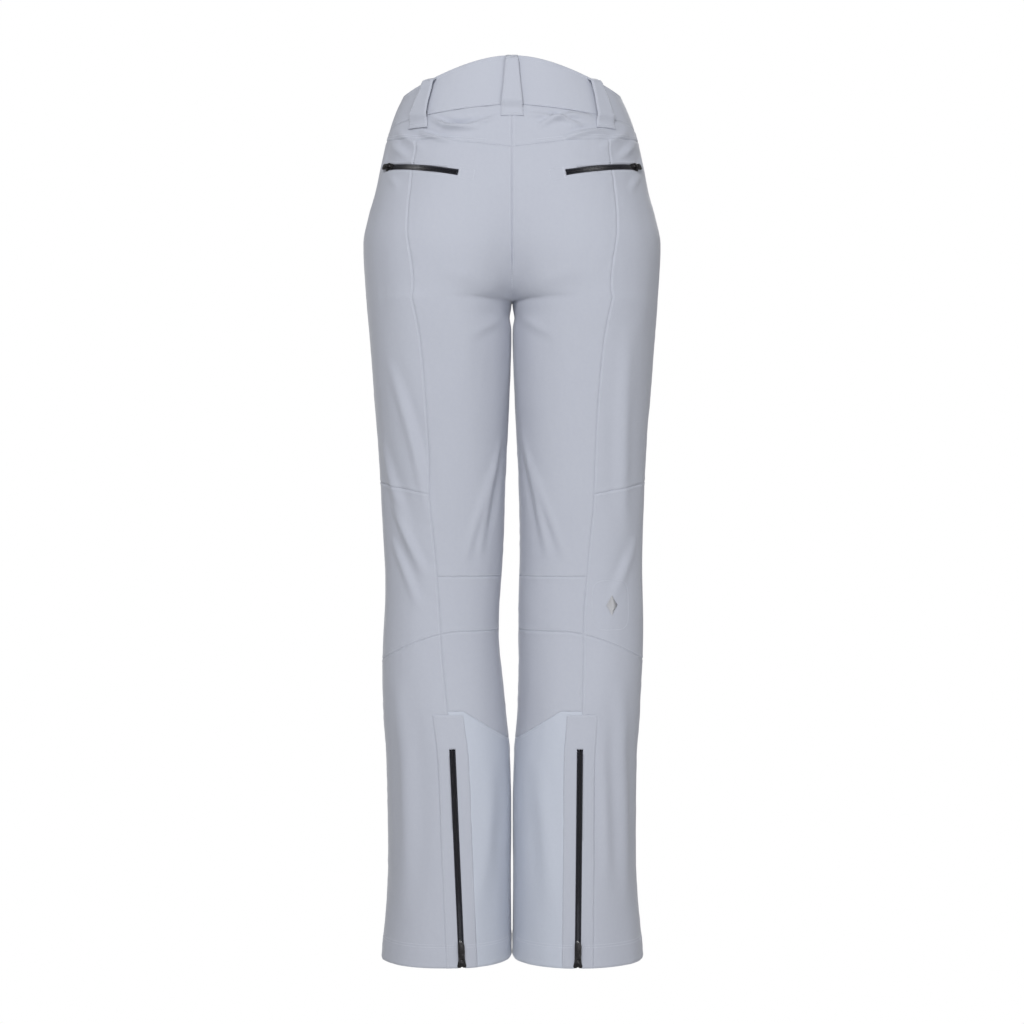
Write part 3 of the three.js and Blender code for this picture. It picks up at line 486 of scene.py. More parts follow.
FOLD_DEPTH = 2.4
HEM_STITCH = (25, 28)
FOLDS = [
    # Drag lines that run from the left hip down the outside of the thigh to the knee.
    Fold(1, behind(150, 735), behind(101, 535), 7, 1.5, bow=5),
    Fold(1, behind(160, 640), behind(112, 500), 8, 1.3, bow=-4),
    Fold(1, behind(146, 560), behind(104, 470), 6, 1.6),
    Fold(1, behind(150, 520), behind(112, 430), 6, 1.2, bow=3),
    # Inside of both thighs, closing in on the seam behind the knee.
    Fold(1, behind(14, 640), behind(40, 492), 7, 1.5, bow=-3),
    Fold(1, behind(26, 600), behind(58, 486), 6, 0.9),
    Fold(-1, behind(12, 650), behind(44, 492), 7, 1.5, bow=-3),
    Fold(-1, behind(24, 610), behind(66, 488), 6, 0.9),
    # A soft upright fold outside the right thigh, and a low one outside each calf.
    Fold(-1, behind(142, 780), behind(138, 520), 11, 1.4, bow=4),
    Fold(-1, behind(152, 520), behind(120, 440), 7, 0.9),
    Fold(1, behind(140, 350), behind(132, 60), 13, 1.5, bow=5),
    Fold(-1, behind(132, 350), behind(140, 70), 12, 1.8, bow=-4),
    Fold(-1, behind(112, 300), behind(118, 90), 9, 1.1),
    Fold(1, behind(26, 250), behind(40, 60), 12, 1.0, bow=4),
    Fold(-1, behind(30, 250), behind(46, 60), 12, 1.0, bow=-4),
    # Under the seat.
    *both(behind(20, 812), behind(92, 838), 9, 0.4, bow=-4),
    *both(behind(8, 790), behind(52, 760), 6, 0.6),
    # Round the hips, from the side loops and the pocket ends.
    Fold(1, behind(140, 1012), behind(104, 985), 4, 1.2, bow=2),
    Fold(1, behind(148, 1000), behind(118, 965), 4.5, 1.3, bow=3),
    Fold(1, behind(156, 985), behind(136, 940), 5, 1.2),
    Fold(-1, behind(140, 1012), behind(104, 985), 4, 1.2, bow=2),
    Fold(-1, behind(150, 1002), behind(120, 962), 4.5, 1.4, bow=3),
    Fold(-1, behind(158, 985), behind(140, 935), 5, 1.3),
    Fold(1, behind(98, 1026), behind(34, 1012), 3.2, 2.8, bow=-7),
    Fold(-1, behind(98, 1026), behind(30, 1010), 3.2, 2.8, bow=7),
    Fold(1, behind(86, 1012), behind(14, 1026), 2.8, 2.3, bow=-5),
    Fold(-1, behind(86, 1012), behind(12, 1026), 2.8, 2.3, bow=5),
    Fold(1, behind(112, 1010), behind(66, 994), 3, 2.0, bow=-3),
    Fold(-1, behind(112, 1010), behind(60, 994), 3, 2.0, bow=3),
    Fold(1, behind(70, 1031), behind(20, 1034), 2.2, 1.1, bow=2),
    Fold(-1, behind(70, 1031), behind(20, 1034), 2.2, 1.1, bow=-2),
    # Front of the thighs and knees, and across the hips.
    *both((0.86, 835), (0.66, 890), 7, 1.5, bow=5),
    *both((0.93, 815), (0.74, 845), 6, 1.2, bow=3),
    Fold(1, (0.94, 780), (0.8, 700), 8, 1.0),
    Fold(-1, (0.94, 780), (0.8, 690), 8, 1.1),
    Fold(1, (0.62, 620), (0.8, 560), 9, 1.2, bow=4),
    Fold(-1, (0.6, 630), (0.78, 566), 9, 1.2, bow=4),
    Fold(1, (0.6, 410), (0.74, 440), 8, 1.1, bow=-3),
    Fold(-1, (0.6, 405), (0.76, 436), 8, 1.1, bow=-3),
    Fold(1, (0.72, 340), (0.7, 60), 15, 1.6, bow=6),
    Fold(-1, (0.7, 340), (0.72, 60), 15, 1.6, bow=-6),
    *both((0.84, 300), (0.82, 90), 12, 1.2),
]


def knee_shape(side, v, z):
    """The left leg hangs a little narrower at the knee, and the right one a little fuller inside."""
    inner = np.clip(np.cos(2 * math.pi * v), 0, 1) ** 2
    outer = np.clip(-np.cos(2 * math.pi * v), 0, 1) ** 2
    left = -6.0 * inner * np.exp(-(((z - 400) / 75) ** 2)) - 4.0 * outer * np.exp(-(((z - 445) / 80) ** 2))
    right = 2.4 * inner * np.exp(-(((z - 420) / 70) ** 2))
    crotch = -2.4 * inner * np.exp(-(((z - 789) / 9) ** 2))
    return np.where(side > 0, left, right) + crotch


LEG_GIRTH = 480  # round one leg at the seat, near enough to turn a share into millimetres
BRIDGE, BRIDGE_REACH = 1.5, 7  # how far the seat's seam stands over the valley, and how far out


def centre_fill(v, z):
    """The seat's seam bridges the valley between the two halves."""
    from_seam = np.minimum(np.abs(v - centre_back(z)), np.abs(v - centre_front(z))) * LEG_GIRTH
    depth = BRIDGE + BRIDGE * np.exp(-(((z - INSEAM - 20) / 22) ** 2))
    return depth * np.exp(-((from_seam / BRIDGE_REACH) ** 2)) * np.clip((z - INSEAM + 8) / 20, 0, 1)


def relief(side, v, z, points, stiff=1.0):
    """Millimetres that the cloth stands off the body form."""
    total = 1.3 * mottle(points, (60, 60, 240)) + 0.6 * mottle(points + 0.3, (24, 24, 80))
    total = total + 0.16 * mottle(points + 0.7, (8, 8, 20))
    for fold in FOLDS:
        total = total + FOLD_DEPTH * fold.lift(side, v, z)
    fade = 1 - 0.75 * np.clip((z - waist_seam(0.5)) / 20, 0, 1)
    hem = 0.5 / (1 + np.exp(np.clip((z - HEM_STITCH[0]) / 0.8, -40, 40)))
    hem = hem + 0.45 * np.exp(-np.abs(z - HEM_STITCH[0]) / 7) * mottle(points + 0.21, (9, 9, 14))
    return total * fade * stiff + knee_shape(side, v, z) + centre_fill(v, z) * np.minimum(1, stiff * 2) + hem


def flattened(height, normal, points, found):
    """Cloth held down along the zips: its height near each one is the zip's own."""
    for track in found:
        spot = track.local(points + normal * height[..., None] * MM)
        across, along = np.abs(spot[..., 0]), spot[..., 1]
        past = np.maximum(np.maximum(track.start - along, along - track.end), 0)
        beside = np.maximum(across - LIP_GAP - 2, 0)
        hold = np.exp(-((beside / 9) ** 2) - (past / 14) ** 2) * (np.abs(spot[..., 2]) < 30)
        lip = -0.55 * np.exp(-(((across - LIP_GAP) / 0.9) ** 2)) * (past < 1)
        welt = 0.9 * np.exp(-(((across - LIP_GAP - 2.4) / 1.5) ** 2)) * np.exp(-((past / 2) ** 2))
        height = height + hold * (ZIP_DEPTH - spot[..., 2] + lip + welt)
    return height


# ---- Cloth -----------------------------------------------------------------------------------------------------

EDGE = np.array([0.0, 0.4, 0.9, 1.6, 2.6, 4.0])  # how the cloth's mesh closes up at a sewn edge
SPACING = 2.7
finished = {}


def graded(width):
    """Distances across a stretch of cloth, given as an offset and a share of what lies between its two edges."""
    inner = max(2, int(round((width - 2 * EDGE[-1]) / SPACING)))
    shares = np.concatenate([np.zeros(len(EDGE)), np.arange(1, inner) / inner, np.ones(len(EDGE))])
    offsets = np.concatenate([EDGE, np.full(inner - 1, EDGE[-1]), EDGE[::-1]])
    signs = np.concatenate([np.ones(len(EDGE)), np.zeros(inner - 1), -np.ones(len(EDGE))])
    return shares, offsets, signs


def mesh_object(name, verts, faces, materials=(), smooth=True):
    mesh = bpy.data.meshes.new(name)
    mesh.from_pydata([tuple(p) for p in np.asarray(verts)], [], [tuple(int(i) for i in f) for f in faces])
    for material in materials:
        mesh.materials.append(material)
    if smooth:
        mesh.polygons.foreach_set("use_smooth", [True] * len(mesh.polygons))
    mesh.update()
    made = bpy.data.objects.new(name, mesh)
    bpy.context.scene.collection.objects.link(made)
    return made


def grid_faces(rows, columns):
    k = np.arange((rows - 1) * columns).reshape(rows - 1, columns)[:, :-1].ravel()
    return np.stack([k, k + 1, k + columns + 1, k + columns], 1)


def face_out(made, index, way):
    """Turn the mesh round if this face looks the other way."""
    if made.data.polygons[index].normal.dot(Vector(way)) < 0:
        made.data.flip_normals()


def metric_uv(made, across, up):
    """A UV map in metres along the cloth."""
    layer = made.data.uv_layers.new(name="cloth")
    index = np.zeros(len(made.data.loops), int)
    made.data.loops.foreach_get("vertex_index", index)
    layer.data.foreach_set("uv", np.stack([across.ravel()[index], up.ravel()[index]], 1).ravel())


def evaluated(made):
    """The object's mesh with its modifiers applied and removed."""
    graph = bpy.context.evaluated_depsgraph_get()
    mesh = bpy.data.meshes.new_from_object(made.evaluated_get(graph))
    made.modifiers.clear()
    old = made.data
    made.data = mesh
    mesh.name = made.name
    bpy.data.meshes.remove(old)
    return made


def thickened(made, thickness):
    shell = made.modifiers.new("cloth", "SOLIDIFY")
    shell.thickness, shell.offset = thickness * MM, -1
    shell.use_even_offset = False
    shell.material_offset = 1
    shell.material_offset_rim = 0
    return evaluated(made)


def cloth_panel(name, surface, facing, spot, start, end, foot, top, *, thickness=SHELL - 0.15, stiff=1.0,
                lift=None, pucker=0.5, found=(), groove=0.5, materials=None, level=0.0):
    """A piece of cloth between two edges, a foot and a top. Returns it as a closed shell with a metric UV map."""
    samples = np.linspace(0, 1, 9)
    middle = 0.5
    for _ in range(10):
        low, high = foot(np.array(middle)), top(np.array(middle))
        z_mid = (low + high) / 2
        middle = (start(z_mid) + end(z_mid)) / 2
    zs = low + (high - low) * samples
    widths = (end(zs) - start(zs)) * mm_per(surface, (start(zs) + end(zs)) / 2, zs)
    across_share, across_off, across_sign = graded(float(widths.max()))
    tops = np.array([float(top(start(z) + (end(z) - start(z)) * s)) for z in [z_mid] for s in samples])
    feet = np.array([float(foot(start(z_mid) + (end(z_mid) - start(z_mid)) * s)) for s in samples])
    up_share, up_off, up_sign = graded(float((tops - feet).max()))
    rows, columns = len(up_share), len(across_share)
    z = np.repeat((low + (high - low) * up_share)[:, None], columns, 1)
    a = np.zeros_like(z)
    for _ in range(14):
        left, right = start(z), end(z)
        scale = mm_per(surface, (left + right) / 2, z)
        squeeze = np.clip((right - left) * scale / (2.6 * EDGE[-1]), 0, 1)
        off = across_off * squeeze / scale
        inner = left + EDGE[-1] * squeeze / scale, right - EDGE[-1] * squeeze / scale
        between = inner[0] + (inner[1] - inner[0]) * across_share
        a = np.where(across_sign > 0, left + off, np.where(across_sign < 0, right - off, between))
        under, over = foot(a), top(a)
        tight = np.clip((over - under) / (2.6 * EDGE[-1]), 0, 1)
        off = up_off[:, None] * tight
        low_in, high_in = under + EDGE[-1] * tight, over - EDGE[-1] * tight
        between = low_in + (high_in - low_in) * up_share[:, None]
        sign = up_sign[:, None]
        z = np.where(sign > 0, under + off, np.where(sign < 0, over - off, between))
    points, normal = surface(a, z), outward(surface, facing, a, z)
    side, v = spot(a, z)
    per = mm_per(surface, a, z)
    edges = np.stack([(a - start(z)) * per, (end(z) - a) * per, z - foot(a), top(a) - z])
    nearest = np.clip(edges.min(0), 0, None)
    height = relief(side, v, z, points, stiff)
    height = height + pucker * np.exp(-nearest / 7) * mottle(points + 0.11, 8)
    height = flattened(height, normal, points, found)
    height = height - groove * np.exp(-((nearest / 1.0) ** 2)) + 0.22 * np.exp(-(((nearest - 3.2) / 1.8) ** 2))
    height = height + level
    if lift is not None:
        height = height + lift(a, z, edges)
    verts = points + normal * height[..., None] * MM
    flat = np.linalg.norm(np.diff(points, axis=1), axis=-1)
    tall = np.linalg.norm(np.diff(points, axis=0), axis=-1)
    area = float((0.5 * (flat[:-1] + flat[1:]) * 0.5 * (tall[:, :-1] + tall[:, 1:])).sum())
    made = mesh_object(name, verts.reshape(-1, 3), grid_faces(rows, columns), materials or CLOTH)
    face_out(made, (rows // 2) * (columns - 1) + columns // 2, normal[rows // 2, columns // 2])
    u = (a - 0.5) * float(per.mean()) * MM
    metric_uv(made, u * facing, z * MM)
    thickened(made, thickness)
    made["flat"] = (float(flat.sum(1).max()), float(tall.sum(0).max()), area)
    return made


def declare(made, node=None, body="trousers", held="hung"):
    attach(made, body)
    if node:
        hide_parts(node)
    if held:
        width, length, area = made["flat"]
        area = min(max(area, 0.31 * width * length), width * length)
    finished[made.name] = made
    return made


# ---- Materials -------------------------------------------------------------------------------------------------


class Shader:
    """A node tree with short calls to add and join its nodes."""

    def __init__(self, name):
        self.material = bpy.data.materials.new(name)
        self.material.use_nodes = True
        self.tree = self.material.node_tree
        self.shader = self.tree.nodes["Principled BSDF"]

    def node(self, kind, settings=None, **inputs):
        made = self.tree.nodes.new(kind)
        for key, value in (settings or {}).items():
            setattr(made, key, value)
        for key, value in inputs.items():
            self.put(made.inputs[int(key[1:])] if key[0] == "i" and key[1:].isdigit() else made.inputs[key], value)
        return made

    def put(self, socket, value):
        if isinstance(value, bpy.types.NodeSocket):
            self.tree.links.new(value, socket)
        else:
            socket.default_value = value

    def math(self, operation, a, b=0.0, c=0.0):
        return self.node("ShaderNodeMath", {"operation": operation}, i0=a, i1=b, i2=c).outputs[0]

    def mix(self, share, a, b):
        made = self.node("ShaderNodeMix", {"data_type": "RGBA"})
        self.put(made.inputs[0], share)
        self.put(made.inputs[6], a)
        self.put(made.inputs[7], b)
        return made.outputs[2]

    def noise(self, where, scale, detail=2.0, roughness=0.5):
        made = self.node("ShaderNodeTexNoise")
        self.put(made.inputs["Vector"], where)
        made.inputs["Scale"].default_value = scale
        made.inputs["Detail"].default_value = detail
        made.inputs["Roughness"].default_value = roughness
        return made.outputs["Fac"]

    def bump(self, height, strength, distance, normal=None):
        made = self.node("ShaderNodeBump")
        made.inputs["Strength"].default_value = strength
        made.inputs["Distance"].default_value = distance
        self.put(made.inputs["Height"], height)
        if normal is not None:
            self.put(made.inputs["Normal"], normal)
        return made.outputs["Normal"]

    def finish(self, **values):
        for key, value in values.items():
            self.put(self.shader.inputs[key.replace("_", " ")], value)
        return self.material


def grey(value):
    """A linear colour from one on the 0 to 255 scale that a dyer's chart uses."""
    return tuple((c / 255 / 12.92) if c <= 10 else ((c / 255 + 0.055) / 1.055) ** 2.4 for c in value) + (1.0,)


def woven(name, light, dark, thread=0.42, twill=1.0, rough=0.82, sheen=0.25, weave=0.35, fleck=0.5):
    """A stretch weave: a fine twill, a little uneven in tone, with a soft bloom on its surface."""
    s = Shader(name)
    where = s.node("ShaderNodeTexCoord").outputs["UV"]
    body = s.node("ShaderNodeTexCoord").outputs["Object"]
    split = s.node("ShaderNodeSeparateXYZ", Vector=where)
    turns = 2 * math.pi / (thread * MM)
    slant = s.math("ADD", split.outputs[0], s.math("MULTIPLY", split.outputs[1], twill))
    rib = s.math("SINE", s.math("MULTIPLY", slant, turns))
    cross = s.math("SINE", s.math("MULTIPLY", split.outputs[0], turns))
    threads = s.math("MULTIPLY_ADD", s.math("MULTIPLY", rib, cross), 0.5, 0.5)
    blotch = s.noise(body, 9, 3)
    fine = s.noise(body, 260, 2)
    tone = s.math("MULTIPLY_ADD", s.math("SUBTRACT", blotch, 0.5), 0.5, 0.5)
    tone = s.math("MULTIPLY_ADD", s.math("SUBTRACT", fine, 0.5), fleck, tone)
    tone = s.math("MULTIPLY_ADD", s.math("SUBTRACT", threads, 0.5), 0.3, tone)
    color = s.mix(tone, dark, light)
    bump = s.bump(fine, 0.25, 0.25 * MM)
    bump = s.bump(threads, weave, 0.12 * MM, bump)
    roughness = s.math("MULTIPLY_ADD", s.math("SUBTRACT", blotch, 0.5), 0.12, rough)
    material = s.finish(Base_Color=color, Roughness=roughness, Normal=bump)
    s.shader.inputs["Sheen Weight"].default_value = sheen
    s.shader.inputs["Sheen Roughness"].default_value = 0.45
    s.shader.inputs["Specular IOR Level"].default_value = 0.3
    return material


def spun(name, light, dark, rough):
    """Sewing thread, twisted, with a soft shine."""
    s = Shader(name)
    body = s.node("ShaderNodeTexCoord").outputs["Object"]
    twist = s.noise(body, 1400, 2)
    tone = s.mix(twist, dark, light)
    material = s.finish(Base_Color=tone, Roughness=rough, Normal=s.bump(twist, 0.4, 0.05 * MM))
    s.shader.inputs["Sheen Weight"].default_value = 0.3
    return material


def smooth_metal(name, color, rough):
    s = Shader(name)
    body = s.node("ShaderNodeTexCoord").outputs["Object"]
    worn = s.noise(body, 420, 3)
    tone = s.mix(s.math("MULTIPLY_ADD", s.math("SUBTRACT", worn, 0.5), 1.2, 0.35), color, tuple(
        min(1, c * 1.9) for c in color[:3]) + (1.0,))
    roughness = s.math("MULTIPLY_ADD", worn, 0.25, rough)
    return s.finish(Base_Color=tone, Roughness=roughness, Metallic=0.85, Normal=s.bump(worn, 0.15, 0.05 * MM))


def moulded(name, color, rough):
    s = Shader(name)
    body = s.node("ShaderNodeTexCoord").outputs["Object"]
    grain = s.noise(body, 900, 2)
    tone = s.mix(grain, color, tuple(min(1, c * 1.8) for c in color[:3]) + (1.0,))
    return s.finish(Base_Color=tone, Roughness=rough, Normal=s.bump(grain, 0.2, 0.04 * MM))


shell_cloth = woven("stretch_shell", grey((190, 194, 205)), grey((181, 185, 198)))
band_cloth = woven("waistband_shell", grey((191, 195, 206)), grey((183, 187, 200)))
kick_cloth = woven("kick_patch_cloth", grey((197, 203, 216)), grey((189, 195, 208)), thread=0.6, twill=0.5, rough=0.7)
lining_cloth = woven("lining_taffeta", grey((176, 180, 192)), grey((165, 169, 182)), thread=0.3, twill=0, rough=0.55,
                     sheen=0.1)
facing_cloth = woven("brushed_facing", grey((160, 163, 174)), grey((148, 151, 163)), thread=0.8, rough=0.95, sheen=0.6)
tape_cloth = woven("zip_tape", grey((27, 28, 40)), grey((14, 15, 24)), thread=0.5, twill=1, rough=0.85)
# The sewing thread is paler than the cloth: partly its own tone, partly a painted highlight that lightens it so the
# rows of stitches read as lit.
thread_with_painted_highlight = spun("sewing_thread_painted_highlight", grey((220, 224, 233)), grey((201, 205, 216)), 0.6)
badge_thread = spun("embroidery_thread", grey((216, 217, 220)), grey((198, 199, 204)), 0.42)
tape_thread = spun("tape_thread", grey((120, 122, 136)), grey((84, 86, 100)), 0.6)
teeth_plastic = moulded("zip_teeth", grey((20, 20, 26)), 0.34)
gunmetal = smooth_metal("gunmetal_enamel", grey((44, 43, 44)), 0.3)
CLOTH = [shell_cloth, lining_cloth]

# ---- Panels ----------------------------------------------------------------------------------------------------


def constant(value):
    return lambda at: np.full(np.shape(at), float(value))


HEM = constant(0)


def carried_box(track, start, end, half, low, high, steps=40):
    """A closed bar along a stretch of a track, to cut cloth with."""
    ring = [(-half, low), (half, low), (half, high), (-half, high)]
    ys = np.linspace(start, end, steps)
    local = np.array([[(x, y, z) for x, z in ring] for y in ys]).reshape(-1, 3)
    faces = []
    for j in range(steps - 1):
        for i in range(4):
            k, n = j * 4 + i, j * 4 + (i + 1) % 4
            faces.append((k, n, n + 4, k + 4))
    last = 4 * (steps - 1)
    faces += [(3, 2, 1, 0), (last, last + 1, last + 2, last + 3)]
    cutter = mesh_object("cutter", track.carry(local), faces, smooth=False)
    tidy = bmesh.new()
    tidy.from_mesh(cutter.data)
    bmesh.ops.recalc_face_normals(tidy, faces=tidy.faces)
    tidy.to_mesh(cutter.data)
    tidy.free()
    return cutter


def slotted(made, found):
    """The cloth with an opening for each zip that crosses it."""
    for track in found:
        start = -30 if track.open_foot else track.start - 0.8
        cutter = carried_box(track, start, track.end + 0.8, LIP_GAP, -14, 14)
        cut = made.modifiers.new("slot", "BOOLEAN")
        cut.operation, cut.object, cut.solver = "DIFFERENCE", cutter, "MANIFOLD"
        evaluated(made)
        bpy.data.objects.remove(cutter)
    return made


def leg_panels(name):
    side = SIDES[name]
    surface = on_leg(side)
    back_seam = BACK_SEAM[name]
    pocket, hand, zip_track = (tracks[f"{name}_{k}_zip"] for k in ("back_pocket", "hand_pocket", "leg"))

    def spot(v, z):
        return np.full(np.shape(z), float(side)), v

    def panel(piece, start, end, foot, top, found=(), slot="shell", slots=True, node=None, **more):
        made = cloth_panel(f"{name}_{piece}", surface, side, spot, start, end, foot, top, found=found, **more)
        if slots:
            slotted(made, found)
        return declare(made, node or f"{name}_{piece}_panel")

    inseam, outside = constant(0), constant(0.5)
    knee = constant(KNEE_SEAM)
    half = PLACKET_WIDTH / 2

    def placket_edge(sign, inset=0.0):
        return lambda z: back_seam(z) + sign * (half - inset) / mm_per(surface, 0.24, z)

    placket_top = LEG_ZIP + PLACKET_OVER

    def under_placket(v, z, edges):
        """Cloth that passes under the placket lies lower."""
        beside = half - np.abs(v - back_seam(z)) * mm_per(surface, 0.24, z)
        return -1.25 * np.clip(np.minimum(beside, placket_top - z) / 1.5, 0, 1)

    def panel_under(piece, *shape, **more):
        made = cloth_panel(f"{name}_{piece}", surface, side, spot, *shape, lift=under_placket, **more)
        cutter = carried_box(zip_track, -30, placket_top - 8, half - 6, -14, 14)
        cut = made.modifiers.new("slot", "BOOLEAN")
        cut.operation, cut.object, cut.solver = "DIFFERENCE", cutter, "MANIFOLD"
        evaluated(made)
        bpy.data.objects.remove(cutter)
        return made

    panel("seat", centre_back, back_seam, knee, yoke_on_leg, [pocket])
    panel("hip_side", back_seam, outside, above_knee, yoke_on_leg, [pocket])
    panel("yoke", centre_back, outside, yoke_on_leg, waist_on_leg, node=f"{name}_back_yoke")
    panel("knee_back", inseam, back_seam, below_knee, knee)
    panel("knee", back_seam, constant(1), below_knee, above_knee)
    panel("shin_front", outside, lambda z: 1 + kick_front(z), HEM, below_knee)
    panel("front", outside, centre_front, above_knee, waist_on_leg, [hand, tracks["fly_zip"]])
    declare(panel_under("calf", inseam, back_seam, kick_seam, below_knee), f"{name}_calf_panel")
    declare(panel_under("shin_side", back_seam, outside, HEM, below_knee), f"{name}_shin_side_panel")
    kick = panel_under("kick", kick_front, back_seam, HEM, kick_seam, materials=[kick_cloth, lining_cloth])
    declare(kick, f"{name}_kick_patch")
    panel("placket", placket_edge(-1), placket_edge(1), HEM, constant(placket_top), [zip_track],
          node=f"{name}_leg_zip_placket", level=0.3, stiff=0.7, groove=0.5, pucker=0.5)


for side_name in SIDES:
    leg_panels(side_name)

# ---- Waistband, loops and tab ----------------------------------------------------------------------------------


def edge_roll(t, reach):
    """0 at an edge and 1 once past the rounding beside it."""
    return np.sqrt(np.clip(1 - (1 - np.clip(t / reach, 0, 1)) ** 2, 0, 1))


def waistband():
    columns = 300
    w = np.linspace(-1, 1, columns, endpoint=False)
    outer = np.concatenate([[0, 0.3, 0.8, 1.6, 2.8], np.linspace(4.5, 100, 14)])
    rows = []
    low, high = waist_seam(w) + 0.2, top_edge(w)
    tall = high - low
    for k, up in enumerate(outer):
        share = up / 100 if up > 4 else 0
        z = low + (up if up < 4 else 4 + (tall - 4 - 1.5) * (up - 4.5) / 95.5)
        points, normal = on_waist(w, z), outward(on_waist, 1, w, z)
        rise_ = z - low
        lift = 0.9 * edge_roll(rise_, 2.2) - 0.55 + 0.5 * np.sin(math.pi * np.clip(share, 0, 1)) ** 0.8
        lift = lift + 0.35 * mottle(points, (34, 34, 30)) + 0.3 * np.exp(-rise_ / 6) * mottle(points + 0.2, (9, 9, 14))
        lift = lift + 0.12 * mottle(points, (7, 7, 12))
        rows.append(points + normal * lift[:, None] * MM)
    points, normal = on_waist(w, high - 1.5), outward(on_waist, 1, w, high - 1.5)
    flat_normal = normal * (1, 1, 0)
    for turn in np.linspace(0.25, math.pi, 7):
        out, up = 1.5 * math.cos(turn) - 1.15, 1.5 * math.sin(turn)
        rows.append(points + flat_normal * out * MM + np.array([0, 0, up * MM]))
    for share in (0.85, 0.5, 0.2, 0):
        z = low + tall * share
        rows.append(on_waist(w, z) - outward(on_waist, 1, w, z) * (BAND - 0.4) * MM)
    grid = np.array(rows)
    count = len(grid)
    faces = []
    for j in range(count):
        for i in range(columns):
            k, n = (i + 1) % columns, (j + 1) % count
            faces.append((j * columns + i, j * columns + k, n * columns + k, n * columns + i))
    made = mesh_object("waistband_cloth", grid.reshape(-1, 3), faces, [band_cloth, facing_cloth])
    face_out(made, 8 * columns, grid[8, 0] * (1, 1, 0))
    inside = (count - 4) * columns
    made.data.polygons.foreach_set("material_index", [int(k >= inside) for k in range(len(made.data.polygons))])
    girth = float(np.linalg.norm(np.diff(grid[8], axis=0), axis=1).sum())
    metric_uv(made, np.repeat((w * girth / 2)[None], count, 0), grid[..., 2])
    made["flat"] = (girth, float(tall.max()) * MM, girth * float(tall.mean()) * MM)
    return declare(made, "waistband", held="folded")


def belt_loop(name, at):
    foot, head = float(waist_seam(at)) - LOOP_BELOW, float(top_edge(at)) + 1.0
    per = float(mm_per(on_waist, at, foot + 30))

    def edge(sign):
        def line(z):
            width = LOOP_FOOT + (LOOP_TOP - LOOP_FOOT) * np.clip((z - foot) / (head - foot), 0, 1)
            return at + sign * width / 2 / per
        return line

    def lift(a, z, edges):
        share = (z - foot) / (head - foot)
        ramp = np.clip((share - 0.1) / 0.14, 0, 1), np.clip((0.985 - share) / 0.1, 0, 1)
        off = ramp[0] ** 2 * (3 - 2 * ramp[0]) * ramp[1] ** 2 * (3 - 2 * ramp[1])
        over = np.clip((z - head + 3) / 3, 0, 1)
        sag = 1 + 0.12 * np.sin(share * 9 + at * 20)
        return 1.95 + 5.4 * off * sag - 3.4 * over**2 + 0.3 * mottle(on_waist(a, z) + at, (12, 12, 7))

    made = cloth_panel(f"{name}_strap", on_waist, 1, waist_spot, edge(-1), edge(1), constant(foot), constant(head),
                       thickness=1.3, stiff=0.2, lift=lift, pucker=0.3, groove=0.45)
    return declare(made, name, held="folded")


LOOPS = {
    "belt_loop_centre_back": 0,
    "belt_loop_left_back": BACK_LOOP,
    "belt_loop_right_back": -BACK_LOOP,
    "belt_loop_left_front": FRONT_LOOP,
    "belt_loop_right_front": -FRONT_LOOP,
}
waistband()
for loop_name, loop_at in LOOPS.items():
    belt_loop(loop_name, loop_at)

FRONT_SEAM, FRONT_TOP = float(waist_seam(1)), float(top_edge(1))
FRONT_PER = float(mm_per(on_waist, 0.9, FRONT_SEAM))
HINGE = -1 + TAB_HINGE / FRONT_PER


def past_front(overlap):
    return -1 - overlap / FRONT_PER


def waist_tab():
    tip = past_front(TAB_OVERLAP)

    def rounding(a):
        near = np.clip(1 - (np.asarray(a) - tip) * FRONT_PER / 12, 0, 1)
        return 12 * (1 - np.sqrt(1 - near**2))

    def lift(a, z, edges):
        ramp = np.clip((HINGE - a) * FRONT_PER / 10, 0, 1)
        return 0.35 + 1.6 + (TAB_CLEAR - 1.6) * ramp**2 * (3 - 2 * ramp) + 0.25 * mottle(on_waist(a, z), (16, 16, 12))

    made = cloth_panel("waist_tab_cloth", on_waist, 1, waist_spot, constant(tip), constant(HINGE),
                       lambda a: FRONT_SEAM + 1 + rounding(a), lambda a: FRONT_TOP - 1 - rounding(a),
                       thickness=1.5, stiff=0.2, lift=lift, groove=0.5, materials=[band_cloth, facing_cloth])
    return declare(made, "waist_tab", body="closure_tab", held="folded")


def turned_disc(name, w, z, profile, body, node):
    """A round fitting that stands on the waist's cloth, from a profile of radius and height in millimetres."""
    middle, normal = on_waist(w, z), outward(on_waist, 1, w, z)
    side_way = np.cross(normal, (0, 0, 1))
    side_way /= np.linalg.norm(side_way)
    up = np.cross(side_way, normal)
    count, verts, faces = 40, [], []
    for radius, height in profile:
        for k in range(count):
            turn = 2 * math.pi * k / count
            arm = side_way * math.cos(turn) + up * math.sin(turn)
            verts.append(middle + (arm * max(radius, 0.01) + normal * height) * MM)
    for j in range(len(profile) - 1):
        for k in range(count):
            n = (k + 1) % count
            faces.append((j * count + k, j * count + n, (j + 1) * count + n, (j + 1) * count + k))
    last = (len(profile) - 1) * count
    faces += [tuple(range(count))[::-1], tuple(range(last, last + count))]
    made = mesh_object(name, verts, faces, [gunmetal])
    tidy = bmesh.new()
    tidy.from_mesh(made.data)
    bmesh.ops.recalc_face_normals(tidy, faces=tidy.faces)
    tidy.to_mesh(made.data)
    tidy.free()
    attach(made, body)
    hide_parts(node)


